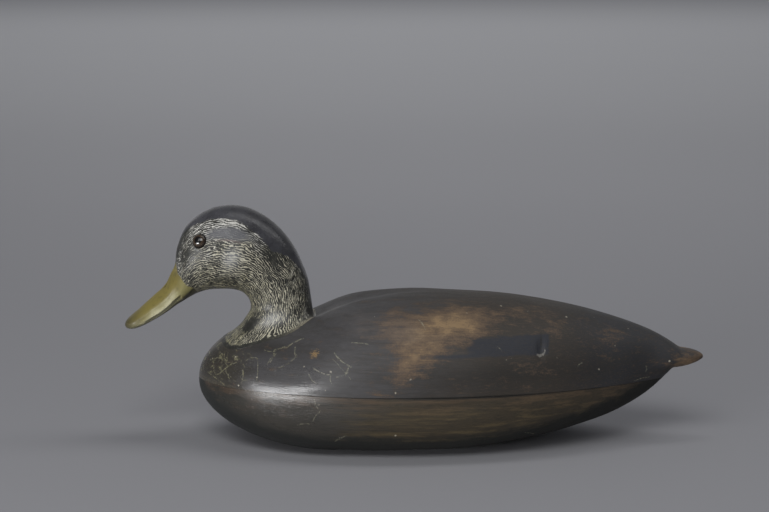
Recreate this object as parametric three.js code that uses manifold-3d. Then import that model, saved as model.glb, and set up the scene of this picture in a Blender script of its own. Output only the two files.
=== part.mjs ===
// A black duck decoy, carved from wood: a body of two planks glued at a level joint, a head with its
// neck and bill on a flat seat, and two glass button eyes.
// Millimetres. The bill points along -X and the tail along +X. The duck's left side faces -Y. +Z is up.
import * as THREE from "three";
import { mergeVertices } from "three/addons/utils/BufferGeometryUtils.js";
import Module from "manifold-3d";

const wasm = await Module();
wasm.setup();

// Body, as the carver's side pattern and top pattern give it
const BREAST_X = -164.8;
const BREAST_Z = 48.8;
const SEAM_Z = 50;
const JOINT_GAP = 0.3;
const BACK_PEAK_Z = 115.2;
const BACK_END = { x: 213, z: 55, fall: 0.56 };
const HALF_WIDTH = 79;
const WIDEST_X = -10;
const BREAST_ROUNDNESS = 0.52;
const STERN_X = 191;
const STERN_TAPER = 0.77;
const KEEL = { z: -1.2, frontX: -60, rearX: 10 };
const STERN_RISE = { long: 36.4, longPower: 2, steep: 15.1, steepPower: 8.5 };

// The widest line runs level at the joint, and climbs to the tail behind this station
const SIDE_LINE = { breastRun: 60, climbX: 140 };

// How square the section is: 2 is an ellipse, more is boxier
const UPPER_SQUARENESS = 2.15;
const LOWER_SQUARENESS = { middle: 2.75, stern: 1.85, fromX: 20, toX: 170 };

// Saddle below the neck, and the channel between the shoulders behind it
const SADDLE = { x: -92, depth: 8, spread: 32 };
const CHANNEL = { depth: 6, neckX: -130, startX: -75, endX: 12, frontHalfWidth: 30, rearHalfWidth: 6 };

// Tail
const TAIL_ROOT_X = 195;
const TAIL_TIP_X = 220.3;
const TAIL_Z = 64.4;
const TAIL_PLAN = { rootX: 168, halfWidth: 20 };
const TAIL_TOP = 7.2;
const TAIL_BOTTOM = 8.2;
const TAIL_CREASE = 10;
const TAIL_NECK = 4;

// Head, neck and bill: each row is a cut across the block, from the neck's foot to the bill's tip, with
// the point on the nape and crown side, the point on the throat and chin side, the half width, how much
// wider the throat side is than the crown side, and how flat the throat side is
const HEAD_CUTS = [
  { back: [-76.5, 94.0], front: [-145.5, 80.0], halfWidth: 34.0, swell: 0.0, flat: 0 },
  { back: [-77.6, 101.0], front: [-134.0, 89.6], halfWidth: 24.5, swell: 0.0, flat: 0 },
  { back: [-78.9, 111.0], front: [-125.6, 99.9], halfWidth: 20.2, swell: 0.0, flat: 0 },
  { back: [-82.0, 128.3], front: [-125.7, 108.5], halfWidth: 20.0, swell: 0.02, flat: 0 },
  { back: [-91.5, 149.6], front: [-131.2, 114.8], halfWidth: 22.0, swell: 0.05, flat: 0 },
  { back: [-107.5, 168.4], front: [-138.5, 116.9], halfWidth: 24.5, swell: 0.09, flat: 0 },
  { back: [-129.0, 179.7], front: [-147.0, 117.2], halfWidth: 26.0, swell: 0.12, flat: 0 },
  { back: [-152.0, 179.1], front: [-156.0, 116.7], halfWidth: 26.0, swell: 0.13, flat: 0 },
  { back: [-171.0, 167.1], front: [-164.0, 114.4], halfWidth: 23.5, swell: 0.12, flat: 0 },
  { back: [-179.6, 149.6], front: [-170.0, 111.4], halfWidth: 18.5, swell: 0.14, flat: 0.1 },
  { back: [-181.7, 136.2], front: [-175.4, 108.0], halfWidth: 14.2, swell: 0.2, flat: 0.25 },
  { back: [-184.9, 128.9], front: [-180.7, 104.6], halfWidth: 12.0, swell: 0.28, flat: 0.4 },
  { back: [-189.6, 119.8], front: [-187.0, 99.9], halfWidth: 11.4, swell: 0.32, flat: 0.5 },
  { back: [-199.0, 111.1], front: [-196.0, 94.3], halfWidth: 12.0, swell: 0.3, flat: 0.5 },
  { back: [-211.8, 99.6], front: [-208.0, 88.3], halfWidth: 12.8, swell: 0.15, flat: 0.4 },
  { back: [-221.6, 92.0], front: [-219.2, 84.8], halfWidth: 12.6, swell: 0.0, flat: 0.3 },
];
const FOOT_CUTS = 2;
const FOOT_SQUARENESS = 2.8;
const SEAT_BELOW_FOOT = 8;

// The lower mandible is narrower than the bill above it, between these cuts
const MANDIBLE = { fromCut: 9.9, toCut: 13.6, inset: 0.42, lip: -0.52, step: 0.1 };

// Eyes
const EYE_RADIUS = 5;
const EYE_DOME = 2.6;
const EYE_BACK = 2.2;
const EYE_PLACE = { cut: 7.46, turn: 1.16 };
const SOCKET_CLEARANCE = 0.35;

// Facets
const BODY_STATIONS = 60;
const BODY_FACETS = 40;
const CROWDING = 0.65;
const HEAD_STATIONS = 46;
const TIP_STATIONS = 6;
const HEAD_FACETS = 28;
const EYE_FACETS = 20;
const DOME_STEPS = 6;

const WOOD_BLACK = new THREE.MeshStandardMaterial({ color: 0x2b2a2a, roughness: 0.55, metalness: 0 });
const WOOD_BROWN = new THREE.MeshStandardMaterial({ color: 0x4a3f30, roughness: 0.6, metalness: 0 });
const HEAD_PAINT = new THREE.MeshStandardMaterial({ color: 0x6f6d5c, roughness: 0.5, metalness: 0 });
const EYE_GLASS = new THREE.MeshStandardMaterial({ color: 0x2a1608, roughness: 0.08, metalness: 0 });

const clamp = (v, low, high) => Math.min(high, Math.max(low, v));
const smooth = (v) => v * v * (3 - 2 * v);
const quarterRound = (r, power) => (1 - clamp(r, 0, 1) ** 2) ** power;
// A sine or cosine bent from a circle's (squareness 2) towards a square's.
const rounded = (v, squareness) => Math.sign(v) * Math.abs(v) ** (2 / squareness);
// The larger of two sizes, rounded off where they meet.
const softLarger = (a, b, sharpness) => (a ** sharpness + b ** sharpness) ** (1 / sharpness);

// Body lines at a station x
function tailRound(x, power) {
  return quarterRound((x - TAIL_ROOT_X) / (TAIL_TIP_X - TAIL_ROOT_X), power);
}

function halfWidth(x) {
  const main =
    x < WIDEST_X
      ? HALF_WIDTH * quarterRound((WIDEST_X - x) / (WIDEST_X - BREAST_X), BREAST_ROUNDNESS)
      : HALF_WIDTH * quarterRound((x - WIDEST_X) / (STERN_X - WIDEST_X), STERN_TAPER);
  const tail = TAIL_PLAN.halfWidth * quarterRound((x - TAIL_PLAN.rootX) / (TAIL_TIP_X - TAIL_PLAN.rootX), 0.5);
  return x < WIDEST_X ? main : softLarger(main, tail, TAIL_NECK);
}

function backLine(x) {
  const saddle = SADDLE.depth * Math.exp(-(((x - SADDLE.x) / SADDLE.spread) ** 2));
  if (x < 0) {
    const rise = quarterRound(x / BREAST_X, 0.5);
    return BREAST_Z + (BACK_PEAK_Z - BREAST_Z) * rise - saddle * Math.min(1, rise * 2);
  }
  const main = BACK_END.z + (BACK_PEAK_Z - BACK_END.z) * quarterRound(x / BACK_END.x, BACK_END.fall);
  return TAIL_Z + softLarger(Math.max(0, main - TAIL_Z), TAIL_TOP * tailRound(x, 0.5), TAIL_CREASE);
}

function bellyLine(x) {
  if (x < KEEL.frontX) {
    const r = (KEEL.frontX - x) / (KEEL.frontX - BREAST_X);
    return BREAST_Z - (BREAST_Z - KEEL.z) * quarterRound(r, 0.5);
  }
  const r = Math.max(0, (x - KEEL.rearX) / (STERN_X - KEEL.rearX));
  const rise = STERN_RISE.long * r ** STERN_RISE.longPower + STERN_RISE.steep * r ** STERN_RISE.steepPower;
  const main = KEEL.z + rise;
  return TAIL_Z - softLarger(Math.max(0, TAIL_Z - main), TAIL_BOTTOM * tailRound(x, 0.75), TAIL_CREASE);
}

// A smooth step from 0 to 1 between two stations.
const rampBetween = (x, from, to) => smooth(clamp((x - from) / (to - from), 0, 1));

// The height of the widest line: the joint for most of the length, then up to the tail.
function sideLine(x) {
  const front = rampBetween(x, BREAST_X, BREAST_X + SIDE_LINE.breastRun);
  const rear = rampBetween(x, SIDE_LINE.climbX, TAIL_ROOT_X);
  return BREAST_Z + (SEAM_Z - BREAST_Z) * front + (TAIL_Z - SEAM_Z) * rear;
}

function lowerSquareness(x) {
  const { middle, stern, fromX, toX } = LOWER_SQUARENESS;
  return middle + (stern - middle) * rampBetween(x, fromX, toX);
}

// The channel's depth at a point of the back.
function channelDepth(x, y) {
  if (x < CHANNEL.neckX) return 0;
  const along = clamp((x - CHANNEL.startX) / (CHANNEL.endX - CHANNEL.startX), 0, 1);
  const half = CHANNEL.frontHalfWidth + (CHANNEL.rearHalfWidth - CHANNEL.frontHalfWidth) * along;
  const across = clamp(Math.abs(y) / half, 0, 1);
  return CHANNEL.depth * (1 - smooth(along)) * (1 - smooth(across));
}

// A point of the body's skin: turn 0 is the right side line, a quarter turn the back, half the left side.
function bodyPoint(x, turn) {
  const w = halfWidth(x);
  const up = Math.sin(turn) >= 0;
  const n = up ? UPPER_SQUARENESS : lowerSquareness(x);
  const y = w * rounded(Math.cos(turn), n);
  const lift = Math.abs(rounded(Math.sin(turn), n));
  const side = sideLine(x);
  const above = side + (backLine(x) - side) * lift - channelDepth(x, y);
  const below = side - (side - bellyLine(x)) * lift;
  return new THREE.Vector3(x, y, up ? above : below);
}

// The height of the back above a point of the plan.
function backHeight(x, y) {
  const side = sideLine(x);
  const lift = Math.max(0, 1 - Math.abs(y / halfWidth(x)) ** UPPER_SQUARENESS) ** (1 / UPPER_SQUARENESS);
  return side + (backLine(x) - side) * lift - channelDepth(x, y);
}

// A closed skin through rings of points, with a single point at each end.
function skin(first, rings, last) {
  const count = rings[0].length;
  const points = [first, ...rings.flat(), last];
  const at = (ring, i) => 1 + ring * count + (i % count);
  const faces = [];
  for (let i = 0; i < count; i++) {
    faces.push(0, at(0, i + 1), at(0, i));
    for (let ring = 0; ring + 1 < rings.length; ring++) {
      faces.push(at(ring, i), at(ring, i + 1), at(ring + 1, i + 1));
      faces.push(at(ring, i), at(ring + 1, i + 1), at(ring + 1, i));
    }
    faces.push(points.length - 1, at(rings.length - 1, i), at(rings.length - 1, i + 1));
  }
  return new THREE.BufferGeometry().setFromPoints(points).setIndex(faces);
}

// Joins and cuts
function solid(geometry) {
  const bare = geometry.clone();
  bare.deleteAttribute("normal");
  bare.deleteAttribute("uv");
  const merged = mergeVertices(bare, 1e-4);
  const vertProperties = new Float32Array(merged.attributes.position.array);
  const triVerts = new Uint32Array(merged.index.array);
  return new wasm.Manifold(new wasm.Mesh({ numProp: 3, vertProperties, triVerts }));
}

function geometryOf(made) {
  const mesh = made.getMesh();
  const geometry = new THREE.BufferGeometry();
  geometry.setAttribute("position", new THREE.BufferAttribute(new Float32Array(mesh.vertProperties), 3));
  geometry.setIndex(new THREE.BufferAttribute(new Uint32Array(mesh.triVerts), 1));
  geometry.computeVertexNormals();
  return geometry;
}

// A level slab, wider than the decoy all round.
function slab(lowZ, highZ) {
  const box = new THREE.BoxGeometry(3 * STERN_X, 4 * HALF_WIDTH, highZ - lowZ);
  box.translate(0, 0, (lowZ + highZ) / 2);
  return solid(box);
}

function wholeBody() {
  const rings = [];
  for (let i = 1; i < BODY_STATIONS; i++) {
    const even = i / BODY_STATIONS;
    const eased = 0.5 - 0.5 * Math.cos(Math.PI * even);
    const share = even + (eased - even) * CROWDING;
    const x = BREAST_X + (TAIL_TIP_X - BREAST_X) * share;
    const ring = [];
    for (let j = 0; j < BODY_FACETS; j++) {
      ring.push(bodyPoint(x, (2 * Math.PI * j) / BODY_FACETS));
    }
    rings.push(ring);
  }
  const nose = new THREE.Vector3(BREAST_X, 0, BREAST_Z);
  const tip = new THREE.Vector3(TAIL_TIP_X, 0, TAIL_Z);
  return skin(nose, rings, tip);
}

// A smooth value between the rows of a pattern, at a row number that need not be whole.
function between(rows, place, value) {
  const last = rows.length - 1;
  const i = Math.min(Math.floor(place), last - 1);
  const f = place - i;
  const p1 = value(rows[i]);
  const p2 = value(rows[i + 1]);
  const p0 = i > 0 ? value(rows[i - 1]) : 2 * p1 - p2;
  const p3 = i + 2 <= last ? value(rows[i + 2]) : 2 * p2 - p1;
  const m1 = (p2 - p0) / 2;
  const m2 = (p3 - p1) / 2;
  return p1 + m1 * f + (3 * (p2 - p1) - 2 * m1 - m2) * f * f + (2 * (p1 - p2) + m1 + m2) * f * f * f;
}

// How much of its width the bill has left, below the lip of the upper bill.
function mandibleShare(place, depth) {
  const along = clamp((place - MANDIBLE.fromCut) / (MANDIBLE.toCut - MANDIBLE.fromCut), 0, 1);
  const below = smooth(clamp((MANDIBLE.lip - depth) / MANDIBLE.step, 0, 1));
  return 1 - MANDIBLE.inset * Math.sin(Math.PI * along) ** 0.5 * below;
}

// A point of the head's skin before its foot is fitted: turn 0 is the nape and crown, half a turn the throat.
function blockPoint(place, turn) {
  const pick = (value) => between(HEAD_CUTS, place, value);
  const back = new THREE.Vector3(pick((c) => c.back[0]), 0, pick((c) => c.back[1]));
  const front = new THREE.Vector3(pick((c) => c.front[0]), 0, pick((c) => c.front[1]));
  const squareness = 2 + (FOOT_SQUARENESS - 2) * clamp(1 - place / FOOT_CUTS, 0, 1);
  const across = rounded(Math.cos(turn), squareness);
  const depth = across < 0 ? -((-across) ** (1 - pick((c) => c.flat))) : across;
  const toTip = clamp(place - (HEAD_CUTS.length - 2), 0, 1);
  const width = pick((c) => c.halfWidth) * (1 - pick((c) => c.swell) * across) * mandibleShare(place, depth);
  const point = back.clone().add(front).multiplyScalar(0.5);
  point.addScaledVector(back.clone().sub(front), 0.5 * depth * (1 - toTip ** 4) ** 0.5);
  point.y = width * rounded(Math.sin(turn), squareness) * (1 - toTip ** 2) ** 0.5;
  return point;
}

function headPoint(place, turn) {
  const point = blockPoint(place, turn);
  if (place < FOOT_CUTS) {
    const foot = blockPoint(0, turn);
    point.z += (backHeight(foot.x, foot.y) - foot.z) * (1 - place / FOOT_CUTS) ** 2;
  }
  return point;
}

// The flat seat that the head stands on
const seatFront = HEAD_CUTS[0].front;
const seatBack = HEAD_CUTS[0].back;
const seatSlope = (seatBack[1] - seatFront[1]) / (seatBack[0] - seatFront[0]);
const seatHeight = (x) => seatFront[1] - SEAT_BELOW_FOOT + seatSlope * (x - seatFront[0]);

function footOutline(grow) {
  const outline = [];
  for (let j = 0; j < HEAD_FACETS; j++) {
    const turn = (2 * Math.PI * j) / HEAD_FACETS;
    const point = blockPoint(0, turn);
    point.x += grow * Math.cos(turn);
    point.y += grow * Math.sin(turn);
    outline.push(point);
  }
  return outline;
}

function headBlock() {
  const last = HEAD_CUTS.length - 1;
  const seat = footOutline(0).map((p) => new THREE.Vector3(p.x, p.y, seatHeight(p.x)));
  const middleX = (seatFront[0] + seatBack[0]) / 2;
  const places = [];
  for (let i = 0; i <= HEAD_STATIONS; i++) places.push(((last - 1) * i) / HEAD_STATIONS);
  for (let i = 1; i < TIP_STATIONS; i++) places.push(last - 1 + Math.sin((Math.PI * i) / (2 * TIP_STATIONS)));
  const rings = [seat];
  for (const place of places) {
    const ring = [];
    for (let j = 0; j < HEAD_FACETS; j++) {
      ring.push(headPoint(place, (2 * Math.PI * j) / HEAD_FACETS));
    }
    rings.push(ring);
  }
  return skin(new THREE.Vector3(middleX, 0, seatHeight(middleX)), rings, blockPoint(last, 0));
}

function seatCutter() {
  const high = BACK_PEAK_Z + JOINT_GAP;
  const outline = footOutline(JOINT_GAP);
  const low = outline.map((p) => new THREE.Vector3(p.x, p.y, seatHeight(p.x) - JOINT_GAP));
  const top = outline.map((p) => new THREE.Vector3(p.x, p.y, high));
  const middleX = (seatFront[0] + seatBack[0]) / 2;
  const bottom = new THREE.Vector3(middleX, 0, seatHeight(middleX) - JOINT_GAP);
  return skin(bottom, [low, top], new THREE.Vector3(middleX, 0, high));
}

// Where an eye sits on the head: side is 1 for +Y and -1 for -Y
function eyeFrame(side) {
  const step = 0.01;
  const turn = side * EYE_PLACE.turn;
  const centre = headPoint(EYE_PLACE.cut, turn);
  const along = headPoint(EYE_PLACE.cut + step, turn).sub(headPoint(EYE_PLACE.cut - step, turn));
  const around = headPoint(EYE_PLACE.cut, turn + step).sub(headPoint(EYE_PLACE.cut, turn - step));
  const out = along.cross(around).normalize();
  if (out.y * side < 0) out.negate();
  return { centre, facing: new THREE.Quaternion().setFromUnitVectors(new THREE.Vector3(0, 1, 0), out) };
}

function eyeButton() {
  const profile = [new THREE.Vector2(0, -EYE_BACK), new THREE.Vector2(EYE_RADIUS, -EYE_BACK)];
  for (let i = 0; i < DOME_STEPS; i++) {
    const turn = (Math.PI * i) / (2 * DOME_STEPS);
    profile.push(new THREE.Vector2(EYE_RADIUS * Math.cos(turn), EYE_DOME * Math.sin(turn)));
  }
  profile.push(new THREE.Vector2(0, EYE_DOME));
  return new THREE.LatheGeometry(profile, EYE_FACETS);
}

function eyeSocket(frame) {
  const deep = EYE_BACK + JOINT_GAP;
  const length = deep + 2 * EYE_RADIUS;
  const radius = EYE_RADIUS + SOCKET_CLEARANCE;
  const drill = new THREE.CylinderGeometry(radius, radius, length, EYE_FACETS);
  drill.translate(0, length / 2 - deep, 0);
  drill.applyQuaternion(frame.facing);
  drill.translate(frame.centre.x, frame.centre.y, frame.centre.z);
  return solid(drill);
}

function named(name, geometry, material) {
  const mesh = new THREE.Mesh(geometry, material);
  mesh.name = name;
  return mesh;
}

const decoy = new THREE.Group();

const body = solid(wholeBody());
const upper = body.intersect(slab(SEAM_Z + JOINT_GAP / 2, 2 * BACK_PEAK_Z)).subtract(solid(seatCutter()));
const lower = body.intersect(slab(0, SEAM_Z - JOINT_GAP / 2));
decoy.add(named("body_upper_half", geometryOf(upper), WOOD_BLACK));
decoy.add(named("body_lower_half", geometryOf(lower), WOOD_BROWN));

let head = solid(headBlock());
for (const [name, side] of [
  ["right_glass_eye", 1],
  ["left_glass_eye", -1],
]) {
  const frame = eyeFrame(side);
  head = head.subtract(eyeSocket(frame));
  const eye = named(name, eyeButton(), EYE_GLASS);
  eye.position.copy(frame.centre);
  eye.quaternion.copy(frame.facing);
  decoy.add(eye);
}
decoy.add(named("head", geometryOf(head), HEAD_PAINT));

export default decoy;
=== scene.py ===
# %% [markdown]
# This lesson dresses a carved wooden black duck decoy: a body of two planks glued at a level joint, a
# head with its neck and bill on a flat seat, and two glass button eyes.
# The solids that hold its sizes are already packed, so the first step loads them as a fixed frame.
# Everything made below stands in that same frame, in metres, with the bill towards minus X.

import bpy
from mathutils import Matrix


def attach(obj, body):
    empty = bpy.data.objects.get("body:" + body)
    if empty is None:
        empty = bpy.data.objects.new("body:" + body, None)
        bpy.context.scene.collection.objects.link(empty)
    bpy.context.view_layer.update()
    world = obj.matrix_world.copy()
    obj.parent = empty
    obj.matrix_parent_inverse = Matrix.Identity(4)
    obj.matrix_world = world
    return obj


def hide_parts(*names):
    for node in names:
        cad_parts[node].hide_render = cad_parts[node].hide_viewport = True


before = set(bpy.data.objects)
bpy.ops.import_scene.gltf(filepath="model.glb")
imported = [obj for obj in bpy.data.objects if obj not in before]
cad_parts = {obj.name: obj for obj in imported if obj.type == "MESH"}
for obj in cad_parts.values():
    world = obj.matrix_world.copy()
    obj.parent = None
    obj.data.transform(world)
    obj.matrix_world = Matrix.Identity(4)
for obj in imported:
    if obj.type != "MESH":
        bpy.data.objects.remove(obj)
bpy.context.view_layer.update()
print("solids in the frame:", sorted(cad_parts))

# %% [markdown]
# A carver draws a decoy in millimetres, so the pattern below is in millimetres too. One factor turns it
# into Blender's metres when a mesh is made. The small functions here bend numbers: a smooth step, a
# quarter of an ellipse, and a sine that leans towards a square. They all work on whole numpy arrays.

# %% Tools for curves
import math

import bmesh
import bpy
import numpy as np
from mathutils import Vector

MM = 0.001
TINY = 1e-6


def clamp(v):
    """v, held between 0 and 1."""
    return np.clip(v, 0.0, 1.0)


def smooth(v):
    """Three times v squared less twice v cubed: an S between 0 and 1."""
    v = clamp(v)
    return v * v * (3 - 2 * v)


def ramp(x, start, end):
    """A smooth step from 0 at start to 1 at end."""
    return smooth((x - start) / (end - start))


def quarter_round(r, power=0.5):
    """One less r squared, to a power: with 0.5 it is a quarter of an ellipse."""
    return (1 - clamp(r) ** 2) ** power


def rounded(v, squareness):
    """A sine or cosine bent from a circle's, squareness 2, towards a square's."""
    return np.sign(v) * np.abs(v) ** (2 / squareness)


def soft_larger(a, b, sharpness):
    """The larger of two sizes, rounded off where they meet."""
    return (a**sharpness + b**sharpness) ** (1 / sharpness)


def hill(offset):
    """A bell: 1 in the middle and nearly 0 two reaches away, for an offset already divided by its reach."""
    return np.exp(-(offset**2))


# %% [markdown]
# The camera comes first, because everything is judged through it. The photograph was taken with a long
# lens, from a little above and square to the decoy's left side. The camera aims at a point over the
# middle of the back, and the decoy stands low in the picture.

# %% Place the camera
AIM = Vector((-0.023, 0.0, 0.1419))
CAMERA_DISTANCE = 1.456
CAMERA_PITCH = math.radians(9.5)
LENS = 90
SENSOR_WIDTH = 36

camera = bpy.data.objects.new("camera", bpy.data.cameras.new("camera"))
bpy.context.scene.collection.objects.link(camera)
camera.data.lens = LENS
camera.data.sensor_width = SENSOR_WIDTH
camera.location = AIM + CAMERA_DISTANCE * Vector((0, -math.cos(CAMERA_PITCH), math.sin(CAMERA_PITCH)))
camera.rotation_euler = (math.pi / 2 - CAMERA_PITCH, 0, 0)
bpy.context.scene.camera = camera
print("camera at", [round(v, 3) for v in camera.location])

# %% [markdown]
# The body follows the carver's two patterns. The side pattern gives the back and the belly, and the top
# pattern gives the width. Each line is made of a few rounded pieces that run smoothly into one another,
# and the tail's own small oval is joined on at the end.

# %% Lines of the body
BREAST_X = -164.8
BREAST_Z = 48.8
BACK_PEAK_Z = 115.2
BACK_END = {"x": 213, "z": 55, "fall": 0.56}
HALF_WIDTH = 79
WIDEST_X = -10
BREAST_ROUNDNESS = 0.52
STERN_X = 191
STERN_TAPER = 0.77
KEEL = {"z": -1.2, "front_x": -60, "rear_x": 10}
STERN_RISE = {"long": 36.4, "long_power": 2, "steep": 15.1, "steep_power": 8.5}
SADDLE = {"x": -92, "depth": 8, "spread": 32}
TAIL_ROOT_X = 195
TAIL_TIP_X = 220.3
TAIL_Z = 64.4
TAIL_PLAN = {"root_x": 168, "half_width": 20}
TAIL_TOP = 7.2
TAIL_BOTTOM = {"depth": 8.2, "roundness": 0.75}
TAIL_CREASE = 10
TAIL_NECK = 4


def tail_round(x, power=0.5):
    """How thick the tail still is: full at its root, and down a quarter of an ellipse to its tip."""
    return quarter_round((x - TAIL_ROOT_X) / (TAIL_TIP_X - TAIL_ROOT_X), power)


def half_width(x):
    """Half the body's width: rounded tapers either way from the widest place, and the tail's own oval."""
    front = HALF_WIDTH * quarter_round((WIDEST_X - x) / (WIDEST_X - BREAST_X), BREAST_ROUNDNESS)
    rear = HALF_WIDTH * quarter_round((x - WIDEST_X) / (STERN_X - WIDEST_X), STERN_TAPER)
    root_x = TAIL_PLAN["root_x"]
    tail = TAIL_PLAN["half_width"] * quarter_round((x - root_x) / (TAIL_TIP_X - root_x))
    return np.where(x < WIDEST_X, front, soft_larger(rear, tail, TAIL_NECK))


def back_line(x):
    """The back's height: an ellipse up from the breast with a saddle under the neck, then a long fall."""
    saddle = SADDLE["depth"] * hill((x - SADDLE["x"]) / SADDLE["spread"])
    rise = quarter_round(x / BREAST_X)
    front = BREAST_Z + (BACK_PEAK_Z - BREAST_Z) * rise - saddle * np.minimum(1, rise * 2)
    fall = quarter_round(x / BACK_END["x"], BACK_END["fall"])
    main = BACK_END["z"] + (BACK_PEAK_Z - BACK_END["z"]) * fall
    rear = TAIL_Z + soft_larger(np.maximum(0, main - TAIL_Z), TAIL_TOP * tail_round(x), TAIL_CREASE)
    return np.where(x < 0, front, rear)


def belly_line(x):
    """The belly's height: an ellipse down from the breast, a level keel, then a rise that steepens."""
    front_share = (KEEL["front_x"] - x) / (KEEL["front_x"] - BREAST_X)
    front = BREAST_Z - (BREAST_Z - KEEL["z"]) * quarter_round(front_share)
    r = np.maximum(0, (x - KEEL["rear_x"]) / (STERN_X - KEEL["rear_x"]))
    gentle = STERN_RISE["long"] * r ** STERN_RISE["long_power"]
    steep = STERN_RISE["steep"] * r ** STERN_RISE["steep_power"]
    drop = np.maximum(0, TAIL_Z - KEEL["z"] - (gentle + steep))
    tail = TAIL_BOTTOM["depth"] * tail_round(x, TAIL_BOTTOM["roundness"])
    return np.where(x < KEEL["front_x"], front, TAIL_Z - soft_larger(drop, tail, TAIL_CREASE))


print("body at its widest:", 2 * float(half_width(np.array(WIDEST_X))), "mm")

# %% [markdown]
# Between the two patterns every cross section is a rounded, slightly boxy oval. One line runs round the
# body where it is widest. It follows the glue joint, dips at the full breast and climbs to the tail. A
# shallow channel between the shoulders runs back from the neck.

# %% Widest line and channel
SEAM_Z = 50
SIDE_LINE = {"breast_run": 60, "climb_x": 140, "dip": 12, "dip_x": -95, "dip_spread": 46}
UPPER_SQUARENESS = 2.15
LOWER_SQUARENESS = {"middle": 2.75, "stern": 1.85, "run": (20, 170)}
CHANNEL = {"depth": 6, "neck_x": -130, "start_x": -75, "end_x": 12, "front_half": 30, "rear_half": 6}


def side_line(x):
    """The widest line's height: level at the joint, lower round the full breast, up to the tail."""
    front = ramp(x, BREAST_X, BREAST_X + SIDE_LINE["breast_run"])
    rear = ramp(x, SIDE_LINE["climb_x"], TAIL_ROOT_X)
    dip = SIDE_LINE["dip"] * hill((x - SIDE_LINE["dip_x"]) / SIDE_LINE["dip_spread"])
    return BREAST_Z + (SEAM_Z - BREAST_Z) * front + (TAIL_Z - SEAM_Z) * rear - dip


def lower_squareness(x):
    """How boxy the belly is: a smooth step from the flat middle to the rounder stern."""
    change = LOWER_SQUARENESS["stern"] - LOWER_SQUARENESS["middle"]
    return LOWER_SQUARENESS["middle"] + change * ramp(x, *LOWER_SQUARENESS["run"])


def channel_depth(x, y):
    """The hollow between the shoulders: deepest behind the neck, and narrowing to nothing on the back."""
    along = clamp((x - CHANNEL["start_x"]) / (CHANNEL["end_x"] - CHANNEL["start_x"]))
    half = CHANNEL["front_half"] + (CHANNEL["rear_half"] - CHANNEL["front_half"]) * along
    depth = CHANNEL["depth"] * (1 - smooth(along)) * (1 - smooth(np.abs(y) / half))
    return np.where(x < CHANNEL["neck_x"], 0, depth)


def back_height(x, y):
    """The height of the back above a point of the plan: the section's oval, less the channel."""
    side = side_line(x)
    reach = clamp(np.abs(y) / np.maximum(half_width(x), TINY))
    lift = (1 - reach**UPPER_SQUARENESS) ** (1 / UPPER_SQUARENESS)
    return side + (back_line(x) - side) * lift - channel_depth(x, y)


print("back over the keel:", round(float(back_height(0.0, 0.0)), 1), "mm")

# %% [markdown]
# A grid of points becomes a mesh when each small square of the grid becomes a face. Where a whole row
# falls on one point, as at the breast and the tail, merging the doubles closes it to a pole. A merged,
# closed skin can then be asked to turn all its faces outwards.

# %% From a grid to a mesh
SHARP_ANGLE = math.radians(42)
DOUBLES_APART = 0.002


def grid_faces(rows, columns, closed):
    """Corner numbers of the squares between neighbouring rows and columns, round the ring if closed."""
    across = columns if closed else columns - 1
    i, j = np.meshgrid(np.arange(rows - 1), np.arange(across), indexing="ij")
    k = (j + 1) % columns
    corners = [i * columns + j, i * columns + k, (i + 1) * columns + k, (i + 1) * columns + j]
    return np.stack(corners, axis=-1).reshape(-1, 4)


def put_marks(mesh, marks):
    """Writes one number for each vertex under each name, for a material's Attribute node to read."""
    for name, values in marks.items():
        layer = mesh.attributes.new(name, "FLOAT", "POINT")
        layer.data.foreach_set("value", np.ascontiguousarray(values, dtype=np.float32).ravel())


def put_piece(name, points, faces, marks=None, flow=None):
    """A closed object from points in millimetres: doubles merged, faces outwards, smooth or sharp."""
    mesh = bpy.data.meshes.new(name)
    mesh.from_pydata((points * MM).tolist(), [], faces.tolist())
    put_marks(mesh, marks or {})
    if flow is not None:
        layer = mesh.uv_layers.new(name="flow")
        layer.data.foreach_set("uv", flow[faces.ravel()].astype(np.float32).ravel())
    solid = bmesh.new()
    solid.from_mesh(mesh)
    bmesh.ops.remove_doubles(solid, verts=solid.verts, dist=DOUBLES_APART * MM)
    bmesh.ops.recalc_face_normals(solid, faces=solid.faces)
    solid.to_mesh(mesh)
    open_edges = sum(1 for edge in solid.edges if len(edge.link_faces) != 2)
    volume = round(solid.calc_volume() * 1e6, 2)
    print(name, len(mesh.polygons), "faces,", volume, "cm3,", open_edges, "open edges")
    solid.free()
    mesh.shade_smooth()
    mesh.set_sharp_from_angle(angle=SHARP_ANGLE)
    piece = bpy.data.objects.new(name, mesh)
    bpy.context.scene.collection.objects.link(piece)
    return piece


# %% [markdown]
# The knife leaves the surface a little uneven, which is what makes a highlight on old paint waver. Long
# shallow waves are added straight outwards, a few tenths of a millimetre high, and they fade out near
# the glue joint and the neck, where two pieces have to meet.

# %% Unevenness left by the knife
WAVES = 14
WAVE_HEIGHT = 0.075
SHORTEST_WAVE = 16
LONGEST_WAVE = 70
knife = np.random.default_rng(41)
wave_lengths = knife.uniform(SHORTEST_WAVE, LONGEST_WAVE, WAVES)
wave_headings = knife.normal(size=(WAVES, 3))
wave_headings /= np.linalg.norm(wave_headings, axis=1, keepdims=True)
wave_starts = knife.uniform(0, 2 * math.pi, WAVES)


def knife_marks(points):
    """A sum of long sine waves in seeded directions, in millimetres, at each point."""
    total = np.zeros(points.shape[:-1])
    for length, heading, start in zip(wave_lengths, wave_headings, wave_starts):
        total += np.sin(points @ heading * (2 * math.pi / length) + start)
    return WAVE_HEIGHT * total


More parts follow.
